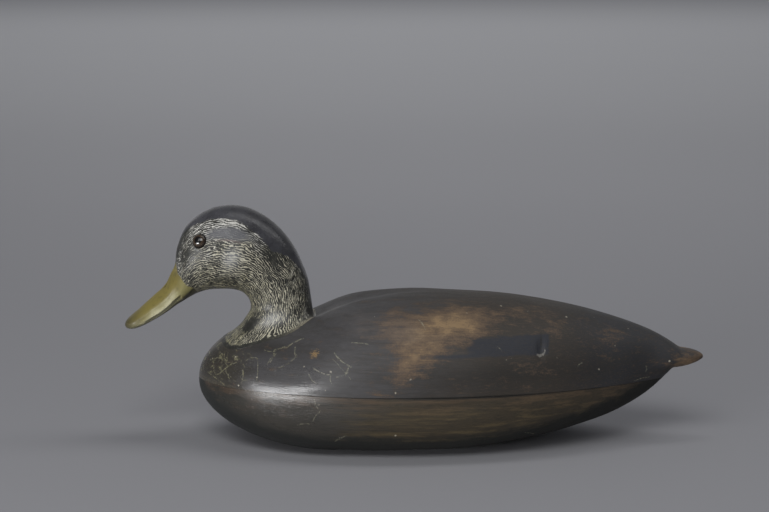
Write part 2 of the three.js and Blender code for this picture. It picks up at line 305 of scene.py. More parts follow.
def outward(points, ring=False):
    """The direction square to the grid at each point: the cross product of its two steps.

    On a ring the last column repeats the first, and both take their step across that seam.
    """
    down = np.gradient(points, axis=0)
    along = np.gradient(points, axis=1)
    if ring:
        across_seam = (points[:, 1] - points[:, -2]) / 2
        along[:, 0] = across_seam
        along[:, -1] = across_seam
    square = np.cross(down, along)
    square /= np.maximum(np.linalg.norm(square, axis=-1, keepdims=True), TINY * MM)
    centres = points.mean(axis=1, keepdims=True)
    return square * np.sign(np.sum(square * (points - centres)))


# %% [markdown]
# Each half of the body is its own plank, and the flat glue joint is its edge. A section of the body is
# walked by an angle, from the right side over the back, or under the belly, to the left side. Where the
# joint lies above or below the widest line, a half starts at the angle at which its section meets it.

# %% Sections of the body
def joint_turn(x, plane):
    """The angle of the section at which it meets the joint: above zero over the widest line, else below."""
    side = side_line(x)
    above = plane >= side
    height = np.where(above, back_line(x) - side, side - belly_line(x))
    share = clamp(np.abs(plane - side) / np.maximum(height, TINY))
    squareness = np.where(above, UPPER_SQUARENESS, lower_squareness(x))
    return np.where(above, 1, -1) * np.arcsin(share ** (squareness / 2))


def section_point(x, turn):
    """A point of the body's skin: turn 0 is the right side line, a quarter turn up the back."""
    upper = np.sin(turn) >= 0
    squareness = np.where(upper, UPPER_SQUARENESS, lower_squareness(x))
    y = half_width(x) * rounded(np.cos(turn), squareness)
    lift = np.abs(rounded(np.sin(turn), squareness))
    side = side_line(x)
    above = side + (back_line(x) - side) * lift - channel_depth(x, y)
    below = side - (side - belly_line(x)) * lift
    return np.stack(np.broadcast_arrays(x, y, np.where(upper, above, below)), axis=-1)


print("section amidships at a quarter turn:", section_point(0.0, math.pi / 2).round(1), "mm")

# %% [markdown]
# The surface isn't worked alike all over. The knife's waves fade out at the joint, at the two ends and
# under the neck, where pieces meet. The edge of the joint is slightly rounded off, most of all amidships.
# The left side has an old dent towards the rear, which is a narrow hollow pressed into the skin.

# %% Wear of the surface
FOOT_QUIET = {"x": -111, "reach_x": 46, "reach_y": 44}
QUIET_AT_JOINT = (0.5, 6)
QUIET_AT_ENDS = (4, 14)
EASED_EDGE = {"front": 0.02, "middle": 0.4, "rear": 0.08, "front_run": (-110, -20), "rear_run": (130, 175)}
DENT = {"x": 92, "z": 82, "reach_x": 2.6, "reach_z": 6.0, "depth": 1.2}


def edge_easing(x):
    """How far the joint's edge is worn back: two smooth steps, least at the breast and the stern."""
    up = (EASED_EDGE["middle"] - EASED_EDGE["front"]) * ramp(x, *EASED_EDGE["front_run"])
    down = (EASED_EDGE["rear"] - EASED_EDGE["middle"]) * ramp(x, *EASED_EDGE["rear_run"])
    return EASED_EDGE["front"] + up + down


def carving_share(points, from_joint):
    """How much of the knife's waves a point takes: none at the joint, at the ends and under the neck."""
    x, y, z = np.moveaxis(points, -1, 0)
    foot = hill((x - FOOT_QUIET["x"]) / FOOT_QUIET["reach_x"]) * hill(y / FOOT_QUIET["reach_y"])
    under_foot = np.where(z > SEAM_Z, np.minimum(1, 2 * foot), 0)
    return (1 - under_foot) * ramp(from_joint, *QUIET_AT_JOINT) * ramp(half_width(x), *QUIET_AT_ENDS)


def dent_depth(points):
    """A narrow upright hollow in the left side: one bell along times another in height."""
    x, y, z = np.moveaxis(points, -1, 0)
    hollow = hill((x - DENT["x"]) / DENT["reach_x"]) * hill((z - DENT["z"]) / DENT["reach_z"])
    return DENT["depth"] * hollow * (y < 0)


print("joint worn back amidships by", float(edge_easing(0.0)), "mm")

# %% [markdown]
# The rows of a plank are stations along the body, and its columns run round the section. The columns
# crowd towards the joint, because its worn edge is narrow and shows as the fine dark line of the glue.
# Closing each ring gives the flat glued face.

# %% The two planks of the body
UPPER_GRID = {"rows": 390, "columns": 216, "crowding": 1.4}
LOWER_GRID = {"rows": 350, "columns": 190, "crowding": 1.75}
ROW_EVENNESS = 0.4
SEARCH_STEPS = 3001
SEARCH_FRONT = (BREAST_X, BREAST_X + 30)
SEARCH_REAR = (SIDE_LINE["climb_x"], STERN_X + 3)
GLUE_LINE = 0.04
LEAST_EASING = 0.2


def crowd_to_ends(count, power):
    """Shares from 0 to 1 that lie closer together near both ends."""
    share = np.linspace(0, 1, count)
    near = 0.5 * (2 * np.minimum(share, 1 - share)) ** power
    return np.where(share < 0.5, near, 1 - near)


def plank_ends(upper, plane):
    """Where a half runs to a point: the upper one's front and the lower one's rear end in the joint."""
    front = np.linspace(*SEARCH_FRONT, SEARCH_STEPS)
    rear = np.linspace(*SEARCH_REAR, SEARCH_STEPS)
    if upper:
        return np.interp(plane, back_line(front), front), TAIL_TIP_X
    return BREAST_X, np.interp(plane, belly_line(rear), rear)


def plank_skin(upper, plane, size):
    """Section points between the two meetings with the joint, at stations that crowd to both ends."""
    even = np.linspace(0, 1, size["rows"])
    eased = 0.5 - 0.5 * np.cos(math.pi * even)
    first_x, last_x = plank_ends(upper, plane)
    share_along = ROW_EVENNESS * even + (1 - ROW_EVENNESS) * eased
    x = first_x + (last_x - first_x) * share_along[:, None]
    first = joint_turn(x, plane)
    share = crowd_to_ends(size["columns"], size["crowding"])[None, :]
    turn = first + (math.pi - 2 * first) * share if upper else first - (math.pi + 2 * first) * share
    return section_point(x, turn)


def plank(upper):
    """The grid of one half: its skin, the knife's waves, the dent and the worn edge of the joint."""
    plane = SEAM_Z + (GLUE_LINE if upper else -GLUE_LINE) / 2
    points = plank_skin(upper, plane, UPPER_GRID if upper else LOWER_GRID)
    out = outward(points)
    from_joint = np.abs(points[..., 2] - plane)
    points = points + out * (knife_marks(points) * carving_share(points, from_joint))[..., None]
    points -= out * dent_depth(points)[..., None]
    easing = edge_easing(points[..., 0])
    worn = easing * (1 - clamp(from_joint / np.maximum(easing, LEAST_EASING))) ** 2
    points[..., 1] -= np.sign(points[..., 1]) * np.minimum(worn, np.abs(points[..., 1]))
    lowest, highest = (plane, np.inf) if upper else (0, plane)
    points[..., 2] = np.clip(points[..., 2], lowest, highest)
    for end in (0, -1):
        points[end] = points[end].mean(axis=0)
    return points


def body_half(name, upper):
    """One half as a closed piece: its grid, with each ring closed across the glued face."""
    points = plank(upper)
    faces = grid_faces(*points.shape[:2], closed=True)
    return put_piece(name, points.reshape(-1, 3), faces)


upper_half = body_half("decoy_body_upper", True)
lower_half = body_half("decoy_body_lower", False)

# %% [markdown]
# The head is one block with its neck and bill. Its pattern is a row of cuts across the block, from the
# neck's foot round over the crown to the tip of the bill. Each cut has a point on the nape and crown
# side, a point on the throat and chin side, a half width, how much wider the throat side is than the
# crown side, and how flat it is. A smooth curve through the rows gives every cut between them.

# %% Pattern of the head
HEAD_CUTS = np.array([
    [-76.5, 94.0, -145.5, 80.0, 34.0, 0.0, 0],
    [-77.6, 101.0, -134.0, 89.6, 24.5, 0.0, 0],
    [-78.9, 111.0, -125.6, 99.9, 20.2, 0.0, 0],
    [-82.0, 128.3, -125.7, 108.5, 20.0, 0.02, 0],
    [-91.5, 149.6, -131.2, 114.8, 22.0, 0.05, 0],
    [-107.5, 168.4, -138.5, 116.9, 24.5, 0.09, 0],
    [-129.0, 179.7, -147.0, 117.2, 26.0, 0.12, 0],
    [-152.0, 179.1, -156.0, 116.7, 26.0, 0.13, 0],
    [-171.0, 167.1, -164.0, 114.4, 23.5, 0.12, 0],
    [-179.6, 149.6, -170.0, 111.4, 18.5, 0.14, 0.1],
    [-181.7, 136.2, -175.4, 108.0, 14.2, 0.2, 0.25],
    [-184.9, 128.9, -180.7, 104.6, 12.0, 0.28, 0.4],
    [-189.6, 119.8, -187.0, 99.9, 11.4, 0.32, 0.5],
    [-199.0, 111.1, -196.0, 94.3, 12.0, 0.3, 0.5],
    [-211.8, 99.6, -208.0, 88.3, 12.8, 0.15, 0.4],
    [-221.6, 92.0, -219.2, 84.8, 12.6, 0.0, 0.3],
])
TIP_CUT = len(HEAD_CUTS) - 1
FOOT_CUTS = 2
FOOT_SQUARENESS = 2.8
SEAT_BELOW_FOOT = 8
MANDIBLE = {"from_cut": 9.9, "to_cut": 13.6, "inset": 0.42, "lip": -0.52, "step": 0.1}


def between(rows, place):
    """A Catmull-Rom curve: the value at row number place, from that row, the next and one on each side."""
    i = np.clip(np.floor(place).astype(int), 0, len(rows) - 2)
    f = (place - i)[..., None]
    padded = np.vstack([2 * rows[0] - rows[1], rows, 2 * rows[-1] - rows[-2]])
    p0, p1, p2, p3 = (padded[i + k] for k in range(4))
    m1 = (p2 - p0) / 2
    m2 = (p3 - p1) / 2
    return p1 + m1 * f + (3 * (p2 - p1) - 2 * m1 - m2) * f**2 + (2 * (p1 - p2) + m1 + m2) * f**3


def mandible_share(place, depth):
    """How much of its width the bill keeps below the lip of the upper bill."""
    along = clamp((place - MANDIBLE["from_cut"]) / (MANDIBLE["to_cut"] - MANDIBLE["from_cut"]))
    below = smooth((MANDIBLE["lip"] - depth) / MANDIBLE["step"])
    return 1 - MANDIBLE["inset"] * np.sin(math.pi * along) ** 0.5 * below


def block_point(place, turn):
    """A point of the block's skin: turn 0 is the nape and crown, half a turn the throat and chin."""
    place, turn = np.broadcast_arrays(place, turn)
    cut = np.moveaxis(between(HEAD_CUTS, place), -1, 0)
    back_x, back_z, front_x, front_z, width, swell, flat = cut
    squareness = 2 + (FOOT_SQUARENESS - 2) * clamp(1 - place / FOOT_CUTS)
    across = rounded(np.cos(turn), squareness)
    depth = np.where(across < 0, -(np.abs(across) ** (1 - flat)), across)
    to_tip = clamp(place - (TIP_CUT - 1))
    reach = 0.5 * depth * (1 - to_tip**4) ** 0.5
    x = (back_x + front_x) / 2 + (back_x - front_x) * reach
    z = (back_z + front_z) / 2 + (back_z - front_z) * reach
    side = width * (1 - swell * across) * mandible_share(place, depth)
    y = side * rounded(np.sin(turn), squareness) * (1 - to_tip**2) ** 0.5
    return np.stack([x, y, z], axis=-1)


def head_point(place, turn):
    """A point of the head: the block's, with its foot let down onto the body's skin."""
    points = block_point(place, turn)
    foot = block_point(np.zeros_like(place), turn)
    fall = back_height(foot[..., 0], foot[..., 1]) - foot[..., 2]
    points[..., 2] += fall * clamp(1 - place / FOOT_CUTS) ** 2
    return points


# %% [markdown]
# An eye needs fine points and a cheek does not, so the grid of the head crowds its rows and columns
# around the two eyes. The eye's place is found on the block itself, with the direction that it faces.

# %% Places of the eyes and rows of the head
EYE = {"cut": 7.46, "turn": 1.16, "radius": 5.0, "dome": 2.6, "back": 2.2}
HEAD_GRID = {"rows": 360, "tip_rows": 26, "columns": 196}
EYE_CROWDING = {"cut_reach": 0.42, "cut_strength": 2.2, "turn_reach": 0.3, "turn_strength": 1.32}
DENSITY_STEPS = 6000
SHORT_STEP = 0.01


def crowded(low, high, count, centres, reach, strength):
    """count values from low to high, closer around the centres: even steps of a running density."""
    fine = np.linspace(low, high, DENSITY_STEPS)
    density = 1 + strength * sum(hill((fine - centre) / reach) for centre in centres)
    total = np.concatenate([[0], np.cumsum((density[1:] + density[:-1]) / 2)])
    return np.interp(np.linspace(0, total[-1], count), total, fine)


def eye_place(side):
    """The eye's centre on the head and the unit direction it faces, from two short steps on the skin."""
    place = EYE["cut"] + SHORT_STEP * np.array([0, 1, -1, 0, 0])
    turn = side * EYE["turn"] + SHORT_STEP * np.array([0, 0, 0, 1, -1])
    centre, ahead, behind, over, under = head_point(place, turn)
    out = np.cross(ahead - behind, over - under)
    out *= side * np.sign(out[1]) / np.linalg.norm(out)
    return centre, out


eye_places = {side: eye_place(side) for side in (-1, 1)}
rows_to_tip = crowded(
    0, TIP_CUT - 1, HEAD_GRID["rows"], [EYE["cut"]], EYE_CROWDING["cut_reach"], EYE_CROWDING["cut_strength"]
)
rows_of_tip = TIP_CUT - 1 + np.sin(np.linspace(0, math.pi / 2, HEAD_GRID["tip_rows"]))[1:]
head_rows = np.concatenate([rows_to_tip, rows_of_tip])
head_columns = crowded(
    -math.pi,
    math.pi,
    HEAD_GRID["columns"],
    [-EYE["turn"], EYE["turn"]],
    EYE_CROWDING["turn_reach"],
    EYE_CROWDING["turn_strength"],
)
print("left eye at", eye_places[-1][0].round(1), "mm, facing", eye_places[-1][1].round(2))

# %% [markdown]
# The carving on the head is shallow: a drilled socket with a low rim of paint and filler around each
# glass eye, the nostrils, the parting of the bill and a dark crack in the neck. Each is a small height
# added square to the skin, worked out from how far a point lies from the mark.

# %% Carving on the head
RIM = {"radius": 6.1, "width": 0.8, "height": 0.35}
SOCKET = {"radius": 5.3, "edge": 0.35, "depth": 2.4}
NOSTRIL = {"cut": 11.9, "turn": 0.46, "cut_reach": 0.2, "turn_reach": 0.1, "depth": 0.8}
CRACK = {"cut": 3.17, "turn": 1.04, "slope": 0.13, "half": 0.31, "fade": 0.06, "width": 0.055, "depth": 0.5}
CRACK_WANDER = {"size": 0.04, "waves": 24}
PARTING = {"cuts": (8.05, 9.9), "turns": (2.44, 2.72), "width": 0.045, "depth": 0.45}
PARTING_FADE = {"in": 0.12, "past_end": 1.25, "out": 0.25}
KNIFE_SHIFT = 300
KNIFE_FROM_FOOT = (1.2, 3.0)
KNIFE_TO_TIP = (0.3, 2)


def nostril_mark(place, turn):
    """A bell along the bill times a bell round it, on both sides."""
    along = (place - NOSTRIL["cut"]) / NOSTRIL["cut_reach"]
    return hill(along) * hill((np.abs(turn) - NOSTRIL["turn"]) / NOSTRIL["turn_reach"])


def crack_mark(place, turn):
    """A short wandering line across the left side of the neck: turn is below zero on the left."""
    aside = -turn - CRACK["turn"]
    wander = CRACK["slope"] * aside + CRACK_WANDER["size"] * np.sin(aside * CRACK_WANDER["waves"])
    across = hill((place - CRACK["cut"] - wander) / CRACK["width"])
    return across * ramp(CRACK["half"] - np.abs(aside), 0, CRACK["fade"])


def parting_mark(place, turn):
    """The line between the two halves of the bill, from the mouth's corner to where the bill steps in."""
    first_cut, last_cut = PARTING["cuts"]
    first_turn, last_turn = PARTING["turns"]
    share = (place - first_cut) / (last_cut - first_cut)
    across = hill((np.abs(turn) - first_turn - (last_turn - first_turn) * share) / PARTING["width"])
    fade_out = ramp(PARTING_FADE["past_end"] - share, 0, PARTING_FADE["out"])
    return across * ramp(share, 0, PARTING_FADE["in"]) * fade_out


def head_relief(points, place, turn):
    """Millimetres outwards at each point: knife marks and rims up, sockets, nostrils and cracks down."""
    quiet = ramp(place, *KNIFE_FROM_FOOT) * ramp(TIP_CUT - place, *KNIFE_TO_TIP)
    height = knife_marks(points + KNIFE_SHIFT) * quiet
    for centre, _ in eye_places.values():
        apart = np.linalg.norm(points - centre, axis=-1)
        height = height + RIM["height"] * hill((apart - RIM["radius"]) / RIM["width"])
        height = height - SOCKET["depth"] * smooth((SOCKET["radius"] - apart) / SOCKET["edge"])
    height = height - NOSTRIL["depth"] * nostril_mark(place, turn)
    height = height - CRACK["depth"] * crack_mark(place, turn)
    return height - PARTING["depth"] * parting_mark(place, turn)


# %% [markdown]
# Where the neck stands on the body, the maker spread filler into the corner and painted over it. So the
# foot of the neck flows out level with the back, ends in a thin feathered skirt that covers the edge of
# the seat, and then drops straight down to the flat seat inside the body.

# %% The head's mesh
FILLET = {"radius": 2.4, "fade": 9, "top_cut": 3, "run": (1.2, 2)}
SKIRT = {"reach": 1.2, "thick": 0.32, "edge": 0.224, "under": 0.01, "wall": 0.1, "sink": 2.5, "run": (0, 0.5)}
REFERENCE_RADIUS = 26.0


def seat_height(x):
    """The height of the flat seat: a slope parallel to the foot, below it."""
    back_x, back_z, front_x, front_z = HEAD_CUTS[0][:4]
    slope = (back_z - front_z) / (back_x - front_x)
    return front_z - SEAT_BELOW_FOOT + slope * (x - front_x)


def foot_ring(turn, grow, lift=0.0):
    """The outline of the foot, grown by some millimetres in plan and laid on the back, lifted a little."""
    ring = block_point(np.zeros_like(turn), turn)
    ring[..., 0] += grow * np.cos(turn)
    ring[..., 1] += grow * np.sin(turn)
    ring[..., 2] = back_height(ring[..., 0], ring[..., 1]) + lift
    return ring


def fillet(points, place):
    """Lowers the foot so that it leaves the back level: its height over the back becomes a hyperbola."""
    floor = back_height(points[..., 0], points[..., 1])
    over = np.maximum(0, points[..., 2] - floor)
    radius = FILLET["radius"] * np.exp(-over / FILLET["fade"])
    eased = np.sqrt(over**2 + radius**2) - radius
    return np.where(place < FILLET["top_cut"], floor + eased, points[..., 2])


def head_grid():
    """The head's points over its rows and columns, with the foot eased, carved, and laid on its skirt."""
    place, turn = np.meshgrid(head_rows, head_columns, indexing="ij")
    points = head_point(place, turn)
    near_foot = 1 - ramp(place, *FILLET["run"])
    points[..., 2] += (fillet(points, place) - points[..., 2]) * near_foot
    points += outward(points, ring=True) * head_relief(points, place, turn)[..., None]
    points[..., 2] += SKIRT["thick"] * (1 - ramp(place, *SKIRT["run"]))
    return place, turn, points


def seat_rings(turn):
    """From the middle of the seat to its edge, up its wall, out under the skirt and back over it."""
    edge = foot_ring(turn, SKIRT["wall"])
    seat = edge.copy()
    seat[:, 2] = seat_height(seat[:, 0])
    middle = np.tile([seat[:, 0].mean(), 0, seat_height(seat[:, 0].mean())], (len(turn), 1))
    under = foot_ring(turn, SKIRT["wall"], -SKIRT["sink"])
    skirt_under = foot_ring(turn, SKIRT["reach"], SKIRT["under"])
    skirt_edge = foot_ring(turn, SKIRT["reach"], SKIRT["edge"])
    return np.stack([middle, seat, under, edge, skirt_under, skirt_edge])


head_place, head_turn, head_skin = head_grid()
below = seat_rings(head_columns)
head_all = np.concatenate([below, head_skin])
print("head grid", head_all.shape[:2], "rows and columns")

# %% [markdown]
# The paint on the head runs with the feathers: from the bill back over the cheek and down the neck. So
# each point gets two flow measures in millimetres, how far it is along its own meridian and how far it
# is round. They become the head's UV map. The painter's zones become plain numbers at each point, such
# as how many millimetres a point lies inside the dark crown.

# %% Flow and paint zones of the head
# A turn from the middle line at each cut
CROWN_EDGE = np.array([
    [0, 0.15], [2.3, 0.12], [2.8, 0.2], [3.15, 0.36], [3.5, 0.54], [3.9, 0.72], [4.2, 0.88], [4.5, 1.04],
    [5.05, 0.95], [5.55, 0.88], [5.95, 0.79], [6.4, 0.74], [6.85, 0.70], [7.45, 0.62],
    [7.9, 0.5], [8.35, 0.36], [8.9, 0.2], [10, 0.05],
])
# A cut at each turn from the middle line
BILL_EDGE = np.array([
    [0, 9.95], [0.3, 9.8], [0.76, 9.6], [1.3, 9.5], [1.6, 9.15], [1.94, 8.9], [2.12, 8.7], [2.42, 8.15],
    [2.7, 8.0], [math.pi, 7.9],
])
HEM_HEIGHT = 1.8
SOFT_PATCHES = {
    # cut and turn of the middle, reach in cuts and in turns
    "haze": (6.25, 1.12, 1.0, 0.17),
    "brow": (6.6, 0.86, 0.9, 0.12),
    "cheek": (5.6, 1.7, 1.5, 0.5),
    "lores": (8.35, 1.25, 0.55, 0.4),
    "mottle": (4.3, 1.05, 0.55, 0.3),
    "throat": (1.25, 2.35, 0.42, 0.3),
    "bead": (0.0, 0.55, 0.42, 0.55),
    "blush": (6.15, 1.29, 0.5, 0.018),
    # The last two are painted highlights, on the cheek and on the neck.
    "cheek_painted_highlight": (5.85, 1.7, 0.4, 0.26),
    "neck_painted_highlight": (1.4, 1.72, 0.38, 0.28),
}


def flow_map(skin, turn):
    """Along: the running length of each meridian. Round: the turn from the crown times one radius."""
    steps = np.linalg.norm(np.diff(skin, axis=0), axis=-1)
    along = np.concatenate([np.zeros((1, steps.shape[1])), np.cumsum(steps, axis=0)])
    return np.stack([along, np.abs(turn) * REFERENCE_RADIUS], axis=-1)


def soft_patch(place, aside, cut, turn, cut_reach, turn_reach):
    """A bell along the head times a bell round it, on both sides."""
    return hill((place - cut) / cut_reach) * hill((aside - turn) / turn_reach)


def head_marks(place, turn, points):
    """The numbers that the head's paint reads: patches, millimetres inside a border, and a few ramps."""
    aside = np.abs(turn)
    flow = flow_map(points, turn)
    per_cut = np.gradient(flow[..., 0], axis=0) / np.gradient(place, axis=0)
    from_eyes = [np.linalg.norm(points - centre, axis=-1) for centre, _ in eye_places.values()]
    patches = {name: soft_patch(place, aside, *values) for name, values in SOFT_PATCHES.items()}
    painted_highlight = np.maximum(patches.pop("cheek_painted_highlight"), patches.pop("neck_painted_highlight"))
    return patches | {
        "painted_highlight": painted_highlight,
        "crown": (np.interp(place, *CROWN_EDGE.T) - aside) * REFERENCE_RADIUS,
        "bill": (place - np.interp(aside, *BILL_EDGE.T)) * per_cut,
        "hem": flow[..., 0] - HEM_HEIGHT,
        "front": ramp(place, 7.6, 8.6) * (1 - ramp(aside, 0.5, 1.0)),
        "nape": ramp(place, 5.0, 3.4) * hill(turn / 0.5),
        "foot": ramp(place, 0.9, 0.3) * ramp(aside, 0.9, 1.3),
        "chin": aside / math.pi,
        "nostril": nostril_mark(place, turn),
        "line": np.maximum(crack_mark(place, turn), parting_mark(place, turn)),
        "tip": ramp(place, 13.2, 15),
        # Where the bill's painted highlight lies, along its middle.
        "bill_painted_highlight": hill((place - 12.4) / 1.7),
        "eye_mm": np.min(from_eyes, axis=0),
    }


def build_head():
    """The head as one closed piece: the rows of the seat take the paint marks of the row above them."""
    rows_below = len(below)
    marks = {
        name: np.concatenate([np.tile(values[:1], (rows_below, 1)), values]).ravel()
        for name, values in head_marks(head_place, head_turn, head_skin).items()
    }
    flow = flow_map(head_all, np.tile(head_columns, (len(head_all), 1)))
    flow[..., 0] -= flow[rows_below, :, 0]
    faces = grid_faces(*head_all.shape[:2], closed=False)
    return put_piece("decoy_head", head_all.reshape(-1, 3), faces, marks, flow.reshape(-1, 2))


head = build_head()

# %% [markdown]
# The body has a pocket for the seat of the head. It is cut with a boolean from a plain block of the
# foot's outline, a little larger than the head that stands in it, and the block is then thrown away.

# %% Cut the seat in the body
JOINT_GAP = 0.3
CUTTER_TOP = 130
CUTTER_POINTS = 72


def seat_cutter():
    """The foot's outline, grown by the glue's gap and carried straight up, with a cap at each end."""
    turn = np.linspace(-math.pi, math.pi, CUTTER_POINTS, endpoint=False)
    low = foot_ring(turn, SKIRT["wall"] + JOINT_GAP)
    low[:, 2] = seat_height(low[:, 0]) - JOINT_GAP
    high = low.copy()
    high[:, 2] = CUTTER_TOP
    caps = [np.tile(ring.mean(axis=0), (CUTTER_POINTS, 1)) for ring in (low, high)]
    rings = np.stack([caps[0], low, high, caps[1]])
    return put_piece("seat_cutter", rings.reshape(-1, 3), grid_faces(4, CUTTER_POINTS, closed=True))


def cut(piece, cutter):
    """piece less cutter, written back as piece's own mesh."""
    boolean = piece.modifiers.new("cut", "BOOLEAN")
    boolean.operation = "DIFFERENCE"
    boolean.solver = "EXACT"
    boolean.object = cutter
    whole = piece.data
    evaluated = piece.evaluated_get(bpy.context.evaluated_depsgraph_get())
    piece.data = bpy.data.meshes.new_from_object(evaluated)
    piece.modifiers.clear()
    piece.data.name = piece.name
    bpy.data.meshes.remove(whole)
    bpy.data.objects.remove(cutter)


cut(upper_half, seat_cutter())
print("upper half after the cut:", len(upper_half.data.polygons), "faces")

# %% [markdown]
# The eyes are glass buttons: a flat back and a low dome. A profile turned about the axis makes one, and
# two directions square to the gaze lay it on the head. Its UV map is a flat disc in millimetres, so that
# the iris and the pupil can be painted by their radius.

# %% Glass eyes
EYE_RINGS = 28
EYE_SIDES = 64


def eye_button(name, side):
    """A profile swept round the gaze: out along the back, up the edge, and over the dome."""
    centre, gaze = eye_places[side]
    across = np.cross(gaze, [0, 0, 1])
    across /= np.linalg.norm(across)
    up = np.cross(across, gaze)
    dome = np.linspace(0, math.pi / 2, EYE_RINGS)
    radius = np.concatenate([[0, EYE["radius"]], EYE["radius"] * np.cos(dome)])
    height = np.concatenate([[-EYE["back"]] * 2, EYE["dome"] * np.sin(dome)])
    turn = np.linspace(0, 2 * math.pi, EYE_SIDES + 1)
    right = radius[:, None] * np.cos(turn)
    high = radius[:, None] * np.sin(turn)
    points = centre + right[..., None] * across + high[..., None] * up + (height[:, None, None] * gaze)
    faces = grid_faces(len(radius), len(turn), closed=False)
    disc = np.stack([right, high], axis=-1).reshape(-1, 2)
    return put_piece(name, points.reshape(-1, 3), faces, flow=disc)


left_eye = eye_button("decoy_eye_left", -1)
right_eye = eye_button("decoy_eye_right", 1)

# %% [markdown]
# The body's paint has a history: patches rubbed to bare wood, a dark wing patch, and thin curved
# scratches in the breast. Their places are read off the side of the decoy, as a distance along and a
# height in millimetres. A material can't draw a line by itself, so each vertex carries its signed
# distance to the nearest scratch, which stays sharp however coarse the mesh is.

# %% Rubbed patches
RUBBED = [
    # along, height, reach along, reach up, strength
    (26, 101, 25, 8.5, 0.9),
    (10, 96, 22, 9, 0.5),
    (40, 96, 16, 8, 0.5),
    (-6, 90, 18, 13, 0.5),
    (-16, 102, 14, 6, 0.36),
    (-3, 77, 14, 10, 0.42),
    (-12, 67, 14, 7, 0.3),
    (14, 84, 18, 8, 0.42),
    (74, 104, 30, 4.5, 0.36),
    (102, 95, 14, 6, 0.34),
    (88, 66, 16, 5, 0.16),
    (146, 86, 22, 9, 0.24),
    (208, 61.5, 17, 8, 0.74),
    (-28, 53, 13, 2.0, 0.24),
]
RUBBED_FAR = [
    (-8, 98, 34, 9, 0.7),
    (36, 84, 26, 10, 0.45),
    (96, 94, 26, 8, 0.38),
    (203, 64, 11, 10, 0.9),
    (-70, 74, 16, 8, 0.3),
]
# Painted sheen: pale grey patches over the shoulder and the worn wood, standing in for a soft highlight.
PAINTED_SHEEN_PATCHES = [(-10, 96, 20, 13, 0.7), (28, 92, 26, 8, 0.4), (-42, 99, 22, 13, 0.6), (-20, 70, 20, 10, 0.2)]
CHIPS = [
    # along, height, radius
    (64, 108.5, 0.9), (84, 105, 0.6), (-4, 64, 0.75), (-15, 54.5, 0.75), (66, 76, 0.6), (113, 100, 0.9),
    (135, 98, 0.6), (161, 89, 0.55), (136, 64, 0.75), (149, 79, 0.5), (192, 64.5, 0.7), (38, 106, 0.55),
    (-134, 72, 0.5), (-82, 70, 0.5), (-117, 60, 0.55), (-62, 68, 0.8), (-131, 52.5, 0.6), (-56, 19, 0.55),
    (-15, 21, 0.8), (-71, 44, 0.5), (-66, 55, 0.5), (70, 76.5, 0.5), (-30, 104, 0.5), (104, 75, 0.45),
]
CHIPS_FAR = [(-52, 86, 0.8), (18, 104, 0.7), (58, 70, 0.8), (-112, 62, 0.6), (120, 88, 0.6), (-24, 26, 0.7)]
# Painted shadow: dark paint with its painted shade under the neck's foot, the shadow under the tail's root,
# and a band of painted shade below the wing patch.
PAINTED_SHADOWS = [(-112, 80, 26, 5, 0.8), (192, 57.5, 20, 2.4, 0.8), (66, 66, 90, 10, 0.9)]
GOLD_SPOT = (-1, 79.5, 2.6)
ORANGE_CHIP = (-74.5, 79, 2.2)
FAR_OFF = 1000.0


def patch_field(x, z, patches):
    """How worn each point is: the strengths of overlapping bells, joined so that they never pass 1."""
    kept = np.ones(x.shape)
    for px, pz, reach_x, reach_z, strength in patches:
        kept = kept * (1 - strength * hill((x - px) / reach_x) * hill((z - pz) / reach_z))
    return 1 - kept


def skin_y(x, z):
    """Half the body's width at a station and a height: the section's oval, solved for the width."""
    side = float(side_line(x))
    above = z >= side
    reach = float(back_line(x)) - side if above else side - float(belly_line(x))
    squareness = UPPER_SQUARENESS if above else float(lower_squareness(x))
    lift = min(1.0, abs(z - side) / reach)
    return float(half_width(x)) * (1 - lift**squareness) ** (1 / squareness)


def spot_field(points, spots, side):
    """Millimetres inside the nearest spot, whose centre lies on the skin of that side."""
    inside = np.full(len(points), -FAR_OFF)
    for x, z, radius in spots:
        centre = np.array([x, side * skin_y(x, z), z])
        inside = np.maximum(inside, radius - np.linalg.norm(points - centre, axis=1))
    return inside


print("rubbed patches:", len(RUBBED), "near,", len(RUBBED_FAR), "far")

# %% [markdown]
# A scratch is a short bowed line. Across it, the signed distance is divided by the line's half width,
# so that 1 always means its edge. Several of them that meet make the longer lines on the breast.

